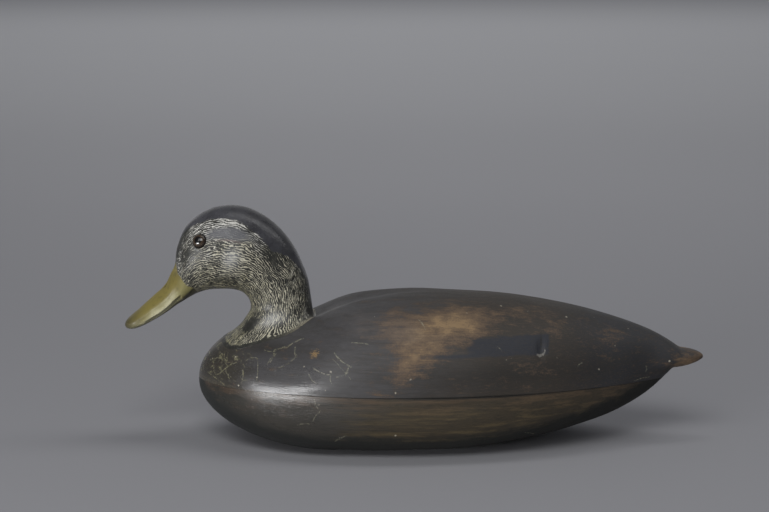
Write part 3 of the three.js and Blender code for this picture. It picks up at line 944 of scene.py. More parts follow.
# %% Scratches
SCRATCHES = [
    # from along, height to along, height, bow, half width
    (-105, 78, -95, 81, 0.6, 0.34),
    (-89, 81, -88, 76, -0.6, 0.36),
    (-88, 76, -100, 68, 0.8, 0.34),
    (-105, 76, -107, 71, 0.4, 0.24),
    (-109, 70, -104, 76, 0.6, 0.25),
    (-117, 72, -117, 59, 0.5, 0.25),
    (-155, 57, -143, 51.5, 0.3, 0.3),
    (-74, 69, -62, 66, -0.8, 0.34),
    (-62, 66, -62, 61, -0.5, 0.3),
    (-59, 80, -48, 72.5, -0.8, 0.4),
    (-48, 72.5, -50, 68, -0.8, 0.28),
    (-50, 68, -57, 65, 0.4, 0.28),
    (-78, 65, -74, 60, -0.6, 0.25),
    (-151, 61, -149, 57, -0.4, 0.34),
    (-149, 57, -144, 61, -0.4, 0.34),
    (-144, 61, -134, 68, 0.5, 0.34),
    (-141, 61, -138, 58, -0.4, 0.28),
    (-128, 63, -128, 58, 0.3, 0.28),
    (-143, 72, -141, 66, -0.8, 0.28),
    (-151, 67, -146, 69, 0.6, 0.28),
    (-125, 71, -118, 73, 0.6, 0.22),
    (-95, 81, -84, 87, 0.5, 0.26),
    (-111, 78, -104, 78, -0.5, 0.22),
    (-74, 47, -70, 40, -0.8, 0.26),
    (-70, 39, -75, 32, -0.6, 0.26),
    (-59, 15.5, -52, 20, 0.2, 0.4),
    (-86, 28, -79, 29, 0.3, 0.25),
    (-46, 88, -36, 87.5, 0.3, 0.22),
    (-60, 76, -48, 64, 0.3, 0.18),
    (3, 102, 6.5, 97.5, 0.4, 0.3),
    (120, 68, 122.5, 70, 0.2, 0.3),
    (174, 61, 174, 58.5, 0.2, 0.3),
    (82, 18, 88, 15, 0.3, 0.3),
    (165, 51.8, 176, 53, 0.3, 0.26),
    (60, 84.5, 62, 83, 0.2, 0.2),
]
SCRATCHES_FAR = [
    (-122, 74, -110, 66, 1.0, 0.34),
    (-96, 66, -84, 72, 0.8, 0.3),
    (-140, 60, -131, 66, 0.6, 0.3),
    (-64, 60, -57, 71, -0.9, 0.3),
    (-20, 92, -6, 88, 0.5, 0.3),
    (60, 76, 66, 84, 0.5, 0.34),
    (118, 60, 127, 63, 0.2, 0.3),
    (-30, 24, -18, 27, 0.4, 0.3),
]
SCRATCH_REACH = 3


def scratch_field(x, z, scratches):
    """The signed distance to the nearest bowed line, in its half widths, and how close its own run is."""
    closest = np.full(x.shape, FAR_OFF)
    signed = np.full(x.shape, FAR_OFF)
    for x0, z0, x1, z1, bow, half in scratches:
        length = math.hypot(x1 - x0, z1 - z0)
        along = ((x - x0) * (x1 - x0) + (z - z0) * (z1 - z0)) / length
        aside = ((z - z0) * (x1 - x0) - (x - x0) * (z1 - z0)) / length
        aside = aside - bow * 4 * (along / length) * (1 - along / length)
        beyond = np.maximum(0, np.maximum(-along, along - length))
        apart = np.hypot(aside, beyond)
        nearer = apart < closest
        signed = np.where(nearer, aside / half, signed)
        closest = np.where(nearer, apart, closest)
    return signed, np.maximum(0, SCRATCH_REACH - closest)


print("scratches:", len(SCRATCHES), "near,", len(SCRATCHES_FAR), "far")

# %% [markdown]
# The wing patch is an outline, so it is kept as the number of millimetres by which a point lies inside
# it. The dent has a pale chipped rim below it and a dark crack beside it. All three are worked out from
# a few lengths, because a formula stays sharp on any mesh.

# %% Wing patch and dent
WING_PATCH = {"front_low": 34, "front_high": 44, "rear": 98, "low": 78, "high": 91}
WING_TAIL = {"from_x": 10, "to_x": 44, "z": 79.5, "half": 1.0}
WING_LEAN = {"front": 0.4, "tail": 0.1, "at_ridge": 4}
DENT_RIM = {"x": 91.5, "right": 4.0, "up": 5.8, "radius": 0.85, "width": 0.22}
DENT_RIM_KEPT = {"lean": 0.35, "below": (0.1, 0.6)}
DENT_CRACK = {"x": 92.5, "reach_x": 0.7, "z": 86, "reach_z": 4.5}


def wing_field(x, z):
    """Millimetres inside the wing patch, whose front edge leans and trails off into a thin streak below."""
    share = clamp((z - WING_PATCH["low"]) / (WING_PATCH["high"] - WING_PATCH["low"]))
    front = WING_PATCH["front_low"] + (WING_PATCH["front_high"] - WING_PATCH["front_low"]) * share
    inside = np.minimum((x - front) * WING_LEAN["front"], WING_PATCH["rear"] - x)
    patch = np.minimum(inside, np.minimum(z - WING_PATCH["low"], WING_PATCH["high"] - z))
    along = np.minimum((x - WING_TAIL["from_x"]) * WING_LEAN["tail"], WING_TAIL["to_x"] - x)
    streak = np.minimum(along, WING_TAIL["half"] - np.abs(z - WING_TAIL["z"]))
    return np.maximum(patch, streak)


def dent_rim(x, z):
    """The chipped lower rim of the dent: a crescent, a ring's band kept where it lies below the middle."""
    right = (x - DENT_RIM["x"]) / DENT_RIM["right"]
    up = (z - DENT["z"]) / DENT_RIM["up"]
    ring = hill((np.hypot(right, up) - DENT_RIM["radius"]) / DENT_RIM["width"])
    return ring * ramp(DENT_RIM_KEPT["lean"] * right - up, *DENT_RIM_KEPT["below"])


def dent_crack(x, z):
    """A dark upright line beside the dent: a narrow bell along times a tall one in height."""
    along = (x - DENT_CRACK["x"]) / DENT_CRACK["reach_x"]
    return hill(along) * hill((z - DENT_CRACK["z"]) / DENT_CRACK["reach_z"])


# %% [markdown]
# Now every point of both halves gets its marks. The left side has its own rubbed patches, scratches and
# chips, and the right side has fewer and plainer ones. The ridge of the back isn't rubbed before the
# tail, and the dirt in the joint changes along the body in three smooth steps.

# %% Marks on the body
OVER_RIDGE = (4, 24)
BREAST_BORDER = {"run": (-112, -160), "rise": 3.4}
BREAST_CRAZING = {"along": (-116, -138), "up": (53, 58)}
TAIL_WEAR = (188, 200)
JOINT_DIRT = 0.12
JOINT_DIRT_STEPS = [(0.3, -80, -30), (0.58, -22, 0), (-0.6, 60, 120)]


def body_marks(piece):
    """Reads a finished half's points and writes its paint marks, near side and far side each with its own."""
    mesh = piece.data
    flat = np.empty(3 * len(mesh.vertices), dtype=np.float32)
    mesh.vertices.foreach_get("co", flat)
    points = flat.reshape(-1, 3).astype(float) / MM
    x, y, z = points.T
    near = y < 0
    near_line, near_close = scratch_field(x, z, SCRATCHES)
    far_line, far_close = scratch_field(x, z, SCRATCHES_FAR)
    over_ridge = ramp(np.abs(y), *OVER_RIDGE)
    rubbed = np.where(near, patch_field(x, z, RUBBED), patch_field(x, z, RUBBED_FAR))
    border = BREAST_BORDER["rise"] * ramp(x, *BREAST_BORDER["run"])
    dirt = JOINT_DIRT + sum(rise * ramp(x, start, end) for rise, start, end in JOINT_DIRT_STEPS)
    put_marks(mesh, {
        "scratch": np.where(near, near_line, far_line),
        "scratch_close": np.where(near, near_close, far_close),
        "rubbed": rubbed * np.maximum(over_ridge, ramp(x, *TAIL_WEAR)),
        "painted_sheen": patch_field(x, z, PAINTED_SHEEN_PATCHES) * over_ridge,
        "painted_shadow": patch_field(x, z, PAINTED_SHADOWS),
        "wing": wing_field(x, z) - WING_LEAN["at_ridge"] * (1 - over_ridge),
        "chip": np.where(near, spot_field(points, CHIPS, -1), spot_field(points, CHIPS_FAR, 1)),
        "gold": spot_field(points, [GOLD_SPOT], -1),
        "orange": spot_field(points, [ORANGE_CHIP], -1),
        "dent_rim": dent_rim(x, z) * near,
        "dent_crack": dent_crack(x, z) * near,
        "over_belly": z - belly_line(x),
        "under_border": SEAM_Z + border - z,
        "joint_dirt": dirt,
        "breast": ramp(x, *BREAST_CRAZING["along"]) * ramp(z, *BREAST_CRAZING["up"]),
    })
    print(piece.name, "marked on", len(x), "points")


body_marks(upper_half)
body_marks(lower_half)

# %% [markdown]
# A material is a small machine of nodes. The class below keeps its making readable: each verb adds one
# node, joins whatever is handed to it, and gives back the output to use next.

# %% Verbs for making materials
class Recipe:
    """The nodes of one material or group."""

    def __init__(self, tree):
        """Keeps the node tree that the verbs add to."""
        self.tree = tree

    def feed(self, socket, value):
        """Joins another node's output to a socket, or sets a plain number or colour on it."""
        if isinstance(value, bpy.types.NodeSocket):
            self.tree.links.new(value, socket)
        elif isinstance(value, tuple) and len(socket.default_value) == 4 and len(value) == 3:
            socket.default_value = (*value, 1)
        else:
            socket.default_value = value

    def add_node(self, kind, settings, named):
        """A new node with its settings, and values for the inputs that are named, or numbered."""
        made = self.tree.nodes.new("ShaderNode" + kind)
        for name, value in settings.items():
            setattr(made, name, value)
        for name, value in named.items():
            self.feed(made.inputs[name], value)
        return made

    def node(self, kind, *values, output=0, **settings):
        """A node of a kind, its settings, its first inputs in order, and the output that is wanted."""
        return self.add_node(kind, settings, dict(enumerate(values))).outputs[output]

    def calc(self, operation, *values):
        """One sum, such as a division or the larger of two values."""
        return self.node("Math", *values, operation=operation)

    def times(self, first, *others):
        """All of them multiplied."""
        for other in others:
            first = self.calc("MULTIPLY", first, other)
        return first

    def add(self, value, other, amount):
        """value plus an amount times other."""
        return self.calc("MULTIPLY_ADD", other, amount, value)

    def left_by(self, mask):
        """What a mask leaves free: one less the mask."""
        return self.calc("SUBTRACT", 1.0, mask)

    def step(self, value, low, high, to_low=0.0, to_high=1.0):
        """A smooth step of value between low and high, onto the range to_low to to_high."""
        return self.node("MapRange", value, low, high, to_low, to_high, interpolation_type="SMOOTHSTEP")

    def stray(self, value, *strays):
        """value moved by patterns around one half, each by at most half its amount either way."""
        for pattern, amount in strays:
            value = self.add(value, self.calc("SUBTRACT", pattern, 0.5), amount)
        return value

    def over(self, colour, mask, paint, strength=1.0):
        """paint laid over colour: colour where the mask is 0, paint where it is 1 at full strength."""
        share = mask if strength == 1 else self.calc("MULTIPLY", mask, strength)
        named = {0: share, 6: colour, 7: paint}
        return self.add_node("Mix", {"data_type": "RGBA"}, named).outputs[2]

    def coats(self, colour, *layers):
        """Coats laid one over the other: for each a mask, its paint and, if not full, its strength."""
        for layer in layers:
            colour = self.over(colour, *layer)
        return colour

    def noise(self, vector, scale, detail, rough=0.5, bend=0.0):
        """Cloudy values around one half, with finer clouds in them the more detail they have."""
        named = {"Vector": vector, "Scale": scale, "Detail": detail, "Roughness": rough, "Distortion": bend}
        return self.add_node("TexNoise", {}, named).outputs[0]

    def patches(self, vector, scale, low, high, detail=4.0, rough=0.7):
        """Islands with soft shores: noise through a smooth step."""
        return self.step(self.noise(vector, scale, detail, rough), low, high)

    def crackle(self, vector):
        """The distance from each point to the nearest wall between flat Voronoi cells."""
        settings = {"voronoi_dimensions": "2D", "feature": "DISTANCE_TO_EDGE"}
        return self.add_node("TexVoronoi", settings, {"Vector": vector, "Scale": 1.0}).outputs["Distance"]

    def stretch(self, vector, scale=(1, 1, 1), shift=(0, 0, 0)):
        """The vector times a scale on each axis, and then moved by a shift."""
        return self.node("Mapping", vector, shift, (0, 0, 0), scale)

    def split(self, vector):
        """The vector's three numbers."""
        return self.node("SeparateXYZ", vector).node.outputs

    def mark(self, name):
        """The number that the mesh carries under this name."""
        return self.node("Attribute", attribute_name=name, output=2)

    def place(self):
        """Object coordinates in millimetres."""
        return self.stretch(self.node("TexCoord", output=3), (1 / MM,) * 3)

    def flow(self):
        """The piece's own flat map, in millimetres."""
        return self.node("UVMap", uv_map="flow")

    def use(self, group, **named):
        """A shared effect, placed here with its own values."""
        return self.add_node("Group", {"node_tree": group}, named).outputs


# %% [markdown]
# Every finish starts from one Principled shader, and most end alike: in its colour, its roughness, and a
# normal bent by a relief of a fraction of a millimetre. An effect that several finishes use becomes a
# node group, with named inputs and with plain numbers as its outputs.

# %% Start and end of a material
def new_material(name):
    """A material with one Principled shader, that shader, and a recipe for its nodes."""
    material = bpy.data.materials.new(name)
    material.use_nodes = True
    return material, material.node_tree.nodes["Principled BSDF"], Recipe(material.node_tree)


def finish_surface(recipe, shader, colour, roughness, relief, relief_height):
    """Joins colour and roughness, and a relief whose height of 1 is so many millimetres."""
    recipe.feed(shader.inputs["Base Color"], colour)
    recipe.feed(shader.inputs["Roughness"], roughness)
    bump = recipe.add_node("Bump", {}, {"Distance": relief_height * MM, "Height": relief})
    recipe.feed(shader.inputs["Normal"], bump.outputs[0])


def new_group(name, inputs, outputs):
    """A shader node group with named inputs and number outputs: its recipe and its two ends."""
    tree = bpy.data.node_groups.new(name, "ShaderNodeTree")
    for label, kind in inputs.items():
        tree.interface.new_socket(label, in_out="INPUT", socket_type="NodeSocket" + kind)
    for label in outputs:
        tree.interface.new_socket(label, in_out="OUTPUT", socket_type="NodeSocketFloat")
    given = tree.nodes.new("NodeGroupInput").outputs
    return Recipe(tree), given, tree.nodes.new("NodeGroupOutput").inputs


# %% [markdown]
# Four effects turn up in more than one finish, so each is made once as a node group. A ragged edge takes
# the distance to a border and breaks it up with noise. Wood grain is noise drawn out along the plank. A
# scratch turns the distances on the vertices into a thin broken line, and speckle is pale specks of worn
# paint. The borders that get a ragged edge are listed with how coarse, deep and soft their tearing is.

# %% Shared effects
TORN_EDGES = {
    "crown": {"Scale": 0.35, "Reach": 2.6, "Softness": 0.5},
    "bill": {"Scale": 0.5, "Reach": 0.7, "Softness": 0.3},
    "hem": {"Scale": 0.45, "Reach": 2.4, "Softness": 0.3},
    "wing": {"Scale": 0.12, "Reach": 2.8, "Softness": 1.0},
    "under_border": {"Scale": 0.3, "Reach": 0.8, "Softness": 0.4},
    "gold": {"Scale": 0.3, "Reach": 2.4, "Softness": 2.2},
    "orange": {"Scale": 0.9, "Reach": 9.0, "Softness": 1.2},
    "chip": {"Scale": 0.9, "Reach": 1.0, "Softness": 0.35},
}
STREAKS = {"scale": (0.016, 0.12, 0.3), "detail": 4.0, "rough": 0.62, "bend": 0.3}
FIBRES = {"scale": (0.07, 0.8, 1.5), "detail": 3.0, "rough": 0.6}
MOTTLE = {"scale": (0.08, 0.16, 0.2), "detail": 5.0, "rough": 0.66}
SCRATCH_SWAY = 5.0
SCRATCH_EDGE = (1.8, 0.6)
SCRATCH_NEAR = (1.4, 2.2)
SCRATCH_BREAKS = (0.39, 0.6)
SPECK_LEVELS = (0.68, 0.78)


def make_ragged_edge():
    """Distance plus a noise of some reach, through a smooth step around zero."""
    inputs = {"Distance": "Float", "Place": "Vector", "Scale": "Float", "Reach": "Float", "Softness": "Float"}
    p, given, result = new_group("ragged_edge", inputs, ["Mask"])
    wobble = p.noise(given["Place"], given["Scale"], 4.0, 0.65)
    moved = p.stray(given["Distance"], (wobble, p.times(given["Reach"], 2.0)))
    p.feed(result["Mask"], p.step(moved, p.times(given["Softness"], -1.0), given["Softness"]))
    return p.tree


def make_wood_grain():
    """Broad streaks, fine fibres and a mottle, drawn out along X, from a place in millimetres."""
    p, given, result = new_group("wood_grain", {"Place": "Vector"}, ["Streaks", "Fibres", "Mottle"])
    for label, look in (("Streaks", STREAKS), ("Fibres", FIBRES), ("Mottle", MOTTLE)):
        drawn_out = p.stretch(given["Place"], look["scale"])
        p.feed(result[label], p.noise(drawn_out, 1.0, look["detail"], look["rough"], look.get("bend", 0.0)))
    return p.tree


def make_scratch():
    """A line where the signed distance is small, only near a real scratch, and broken by noise."""
    p, given, result = new_group("scratch_line", {"Place": "Vector"}, ["Mask"])
    wander = p.noise(given["Place"], 0.35, 3.0)
    aside = p.calc("ABSOLUTE", p.stray(p.mark("scratch"), (wander, SCRATCH_SWAY)))
    close = p.step(p.mark("scratch_close"), *SCRATCH_NEAR)
    broken = p.patches(given["Place"], 0.55, *SCRATCH_BREAKS, 5.0, 0.75)
    p.feed(result["Mask"], p.times(p.step(aside, *SCRATCH_EDGE), close, broken))
    return p.tree


def make_speckle():
    """Pale specks of worn paint: the peaks of a fine noise, thinned by a broad one."""
    p, given, result = new_group("speckle", {"Place": "Vector", "Amount": "Float"}, ["Mask"])
    fine = p.noise(given["Place"], 1.1, 3.0, 0.6)
    broad = p.noise(given["Place"], 0.06, 3.0, 0.6)
    level = p.calc("ADD", p.stray(fine, (broad, 0.35)), given["Amount"])
    p.feed(result["Mask"], p.step(level, *SPECK_LEVELS))
    return p.tree


ragged_edge = make_ragged_edge()
wood_grain = make_wood_grain()
scratch_line = make_scratch()
speckle = make_speckle()
print("shared effects:", [group.name for group in bpy.data.node_groups])


def torn(p, name, place):
    """The area inside a border, whose distances the mesh carries under its name, with a torn edge."""
    return p.use(ragged_edge, Distance=p.mark(name), Place=place, **TORN_EDGES[name])[0]


# %% [markdown]
# The head is painted dark first, and then lined all over with short light strokes, as if combed, to
# stand for the feathers. A wave across the flow makes one light band in each pitch, and a slow sideways
# sway keeps the bands from running straight. Each band has a number, and noise along it, different for
# each number, breaks it into strokes. A fill above or below zero makes strokes broader or lets the dark
# through, so that the crown and the nape stay plain and the cheek is paler.

# %% Strokes of the head
STROKE = {"length": 4.2, "pitch": 1.42, "soft": 0.15}
BAND_SEED = 3.7


def make_strokes():
    """Light bands along the flow, one pitch apart, swayed by noise and each broken up on its own."""
    p, given, result = new_group("feather_strokes", {"Flow": "Vector", "Fill": "Float"}, ["Mask"])
    flow = given["Flow"]
    along, across, _ = p.split(flow)
    slow_sway = p.noise(p.stretch(flow, (0.05, 0.05, 1)), 1.0, 2.0)
    quick_sway = p.noise(p.stretch(flow, (0.26, 0.34, 1), (9, 4, 0)), 1.0, 3.0)
    sway = p.stray(across, (slow_sway, 9.0), (quick_sway, 3.2))
    band = p.calc("DIVIDE", p.calc("PINGPONG", sway, STROKE["pitch"] / 2), STROKE["pitch"] / 2)
    number = p.calc("FLOOR", p.calc("DIVIDE", sway, STROKE["pitch"]))
    run = p.node("CombineXYZ", p.calc("DIVIDE", along, STROKE["length"]), p.times(number, BAND_SEED))
    level = p.stray(band, (p.noise(run, 1.0, 1.5), 1.45), (p.noise(flow, 0.9, 3.0, 0.6), 0.4))
    level = p.calc("ADD", level, given["Fill"])
    p.feed(result["Mask"], p.step(level, 0.5 - STROKE["soft"], 0.5 + STROKE["soft"]))
    return p.tree


feather_strokes = make_strokes()
print("strokes:", len(feather_strokes.nodes), "nodes")

# %% [markdown]
# The strokes are white on the cheek, cream on the neck and yellow at the throat, with pale painted highlights
# on the cheek and the neck. A grey band runs back from the eye, and the crown is laid over all of it with a
# torn edge. The bill has its own paint, olive with a painted highlight along its side, dark at the tip, and
# painted near black below as shade. Where the strokes stand, they also raise the surface.

# %% Paint of the head
STROKE_DARK = (0.026, 0.026, 0.023)
STROKE_WHITE = (0.68, 0.67, 0.62)
STROKE_CREAM = (0.58, 0.55, 0.42)
STROKE_YELLOW = (0.42, 0.39, 0.24)
GROUND_WORN = (0.10, 0.098, 0.08)
CROWN_SLATE = (0.062, 0.062, 0.070)
CROWN_DARK = (0.036, 0.036, 0.040)
HAZE_GREY = (0.118, 0.120, 0.131)
HAZE_BLUSH = (0.24, 0.17, 0.16)
PAINTED_HIGHLIGHT_WHITE = (0.52, 0.53, 0.55)
BILL_OLIVE = (0.200, 0.165, 0.046)
BILL_PAINTED_HIGHLIGHT = (0.58, 0.555, 0.36)
BILL_YELLOW = (0.250, 0.225, 0.090)
BILL_DARK_AND_SHADE = (0.050, 0.046, 0.028)
NECK_PUTTY = (0.36, 0.33, 0.25)
CRACK_DARK = (0.012, 0.012, 0.010)
FILL_ELSEWHERE = -0.21
# The painted highlight also fills the strokes out, so that they are paler there.
STROKE_FILL = {
    "cheek": 0.06, "brow": 0.3, "lores": -0.34, "front": -0.4, "mottle": -0.35, "nape": -0.6,
    "foot": 0.1, "painted_highlight": 0.2,
}
BARE_THROAT = -0.7
NECK_RUN = (93.2, 43.2)
EYE_LINING = (6.1, 5.4)


def stroke_mask(p, place, flow):
    """The strokes, filled by the marks of the head and cut off at the painted hem of the neck."""
    fill = p.stray(FILL_ELSEWHERE, (p.noise(place, 0.09, 4.0, 0.6), 0.55))
    for name, amount in STROKE_FILL.items():
        fill = p.add(fill, p.mark(name), amount)
    throat = p.step(p.stray(p.mark("throat"), (p.noise(place, 0.5, 4.0, 0.7), 1.4)), 0.25, 0.75)
    strokes = p.use(feather_strokes, Flow=flow, Fill=p.add(fill, throat, BARE_THROAT))[0]
    return p.times(strokes, torn(p, "hem", place))


def feather_paint(p, place, flow, strokes):
    """White strokes, cream and then yellow towards the throat, over the dark ground and its worn spots, with
    painted highlights on the cheek and the neck.
    """
    chin = p.mark("chin")
    neck = p.add(chin, p.step(p.mark("hem"), *NECK_RUN), 0.3)
    light = p.coats(
        STROKE_WHITE,
        (p.step(p.stray(neck, (p.noise(flow, 0.1, 3.0), 0.7)), 0.25, 0.6), STROKE_CREAM),
        (p.step(p.stray(chin, (p.noise(flow, 0.14, 3.0), 0.8)), 0.55, 0.95), STROKE_YELLOW),
        (p.patches(flow, 0.55, 0.4, 0.7), STROKE_DARK, 0.5),
    )
    ground = p.over(STROKE_DARK, p.patches(place, 0.3, 0.45, 0.75, rough=0.65), GROUND_WORN, 0.6)
    return p.coats(
        ground,
        (strokes, light),
        (p.step(p.mark("haze"), 0.1, 0.8), HAZE_GREY, 0.88),
        # Pale painted highlights on the cheek and the neck, over the strokes.
        (p.times(p.mark("painted_highlight"), p.noise(place, 0.4, 4.0, 0.7)), PAINTED_HIGHLIGHT_WHITE, 0.8),
        (p.mark("blush"), HAZE_BLUSH, 0.6),
    )


def horn_paint(p, place):
    """The bill: olive above, yellower along the side, a painted highlight along its middle, painted shade
    below, rubbed.
    """
    chin = p.mark("chin")
    level = p.stray(chin, (p.noise(place, 0.07, 3.0), 0.22))
    return p.coats(
        BILL_OLIVE,
        (p.step(level, 0.42, 0.62), BILL_YELLOW),
        # A painted highlight along the middle of the bill's side.
        (p.times(p.step(level, 0.46, 0.62), p.mark("bill_painted_highlight")), BILL_PAINTED_HIGHLIGHT),
        # Painted shade: the lower half of the bill, tucked under the upper one, is painted near black.
        (p.step(chin, 0.73, 0.80), BILL_DARK_AND_SHADE, 0.9),
        (p.patches(place, 0.16, 0.52, 0.7, 5.0), BILL_DARK_AND_SHADE, 0.35),
        (p.patches(place, 0.5, 0.6, 0.74), BILL_DARK_AND_SHADE, 0.4),
        (p.calc("MAXIMUM", p.mark("nostril"), p.mark("line")), CRACK_DARK, 0.9),
        (p.mark("tip"), BILL_DARK_AND_SHADE, 0.78),
    )


def head_paint():
    """Feathers, plain crown, putty at the foot and bill, with the strokes standing up a little."""
    material, shader, p = new_material("head_oil_paint")
    place = p.place()
    flow = p.flow()
    strokes = stroke_mask(p, place, flow)
    crown = torn(p, "crown", place)
    bill = torn(p, "bill", place)
    slate = p.over(CROWN_SLATE, p.patches(place, 0.06, 0.3, 0.7, rough=0.6), CROWN_DARK)
    colour = p.coats(
        feather_paint(p, place, flow, strokes),
        (crown, slate),
        (p.times(p.mark("bead"), p.patches(place, 0.5, 0.32, 0.5)), NECK_PUTTY, 0.9),
        (p.mark("line"), CRACK_DARK),
        (bill, horn_paint(p, place)),
        (p.step(p.mark("eye_mm"), *EYE_LINING), CRACK_DARK, 0.85),
    )
    gloss = p.add(p.step(p.noise(place, 0.15, 4.0), 0.3, 0.7, 0.34, 0.5), crown, -0.12)
    raised = p.times(strokes, p.left_by(crown), p.left_by(bill))
    relief = p.stray(p.times(raised, 0.7), (p.noise(place, 0.6, 4.0), 0.8))
    finish_surface(p, shader, colour, gloss, relief, 0.16)
    return material


head.data.materials.append(head_paint())

# %% [markdown]
# A few effects belong to the body alone. Where its colour changes along the plank, the front of the
# change is moved about by a mottle. The breast has wandering pale lines, which are the walls of bent
# Voronoi cells. Dirt lies in the joint, and fibres, streaks and brush marks raise the surface.

# %% Effects on the planks
BRUSH_MARKS = (0.5, 1, 1.6)
SCRIBBLE = {"sway": 16.0, "cells": (0.13, 0.13, 1), "wall": (0.075, 0.03)}


def change_along(p, along, mottle, reach, start, end):
    """A smooth step from one station to another, whose front the mottle moves back and forth."""
    return p.step(p.stray(along, (mottle, reach)), start, end)


def breast_scribble(p, place):
    """Wandering pale lines on the breast: the walls of bent cells, seen from the side, broken by noise."""
    x, _, z = p.split(place)
    bent_x = p.stray(x, (p.noise(place, 0.12, 3.0), SCRIBBLE["sway"]))
    bent_z = p.stray(z, (p.noise(p.stretch(place, shift=(40, 0, 0)), 0.12, 3.0), SCRIBBLE["sway"]))
    wall = p.crackle(p.stretch(p.node("CombineXYZ", bent_x, bent_z), SCRIBBLE["cells"]))
    return p.times(p.step(wall, *SCRIBBLE["wall"]), p.patches(place, 0.2, 0.46, 0.6), p.mark("breast"))


def joint_line(p, place, height):
    """Dirt in the glue joint, stronger amidships, with its width varied by noise."""
    apart = p.calc("ABSOLUTE", p.calc("SUBTRACT", height, SEAM_Z))
    apart = p.stray(apart, (p.noise(place, 0.08, 3.0), 0.8))
    dirt = p.mark("joint_dirt")
    return p.times(p.step(apart, p.calc("MULTIPLY_ADD", dirt, 1.3, 0.4), 0.3), dirt)


def brushed_relief(p, place, fibres, streaks, streak_height):
    """The height of the paint's own surface: raised fibres, streaks of the grain and brush marks."""
    brushed = p.noise(p.stretch(place, BRUSH_MARKS), 0.9, 5.0, 0.7)
    return p.stray(p.times(fibres, 0.7), (streaks, streak_height), (brushed, 0.5))


# %% [markdown]
# The upper half is near black, with a blue cast at the shoulder and the rear and a brown one between.
# Handling has rubbed it down to golden wood over the wing. Bare wood shows first on the high fibres, so
# the rubbed mark is moved up and down by the grain before it is compared with a level. Three levels give
# a reddish edge, where the paint is only thin, then tan wood, and the golden middle, where it is gone.

# %% Paint of the upper half
SHOULDER_SLATE = (0.060, 0.058, 0.060)
SHOULDER_FIBRE = (0.095, 0.092, 0.093)
BROWN_BLACK = (0.041, 0.034, 0.027)
STREAK_BLACK = (0.035, 0.032, 0.029)
REAR_SLATE = (0.029, 0.030, 0.034)
BREAST_BROWN = (0.045, 0.041, 0.034)
WING_BLACK = (0.024, 0.027, 0.036)
WING_WORN = (0.030, 0.030, 0.034)
THIN_PAINT = (0.105, 0.070, 0.045)
WOOD_TAN = (0.155, 0.105, 0.064)
WOOD_GOLD = (0.29, 0.195, 0.102)
DENT_GREY = (0.20, 0.19, 0.17)
PAINTED_SHEEN_PATCHES_GREY = (0.135, 0.116, 0.106)
SCRATCH_PALE = (0.36, 0.35, 0.25)
SCRATCH_GREEN = (0.27, 0.255, 0.15)
CHIP_PALE = (0.62, 0.57, 0.45)
ORANGE_WOOD = (0.30, 0.19, 0.08)
JOINT_BLACK = (0.010, 0.009, 0.007)
PAINTED_SHADOW_BLACK = (0.020, 0.018, 0.016)
EDGE_BROWN = (0.105, 0.090, 0.062)
POLISHED_BREAST = (-36.0, -84.0)
DULL = 0.62
FLAT_TEARS = (0.45, 1, 1)
FLAKE_TEARS = (0.6, 1, 1.6)


def upper_ground(p, along, streaks, fibres, mottle):
    """Whole paint: slate at the shoulder, brown behind it, slate again at the rear, brown at the breast, and
    painted shadow under the neck, under the tail's root and below the wing patch.
    """
    behind = change_along(p, along, mottle, 90.0, -50.0, 60.0)
    return p.coats(
        SHOULDER_SLATE,
        (behind, BROWN_BLACK),
        (change_along(p, along, mottle, 80.0, 95.0, 150.0), REAR_SLATE),
        (change_along(p, along, mottle, 40.0, -112.0, -140.0), BREAST_BROWN),
        (p.step(streaks, 0.42, 0.66), STREAK_BLACK, 0.5),
        (p.step(fibres, 0.52, 0.72), p.over(SHOULDER_FIBRE, behind, THIN_PAINT), 0.4),
        # Painted shadow, laid on as near black paint.
        (p.stray(p.mark("painted_shadow"), (mottle, 0.4)), PAINTED_SHADOW_BLACK, 0.8),
    )


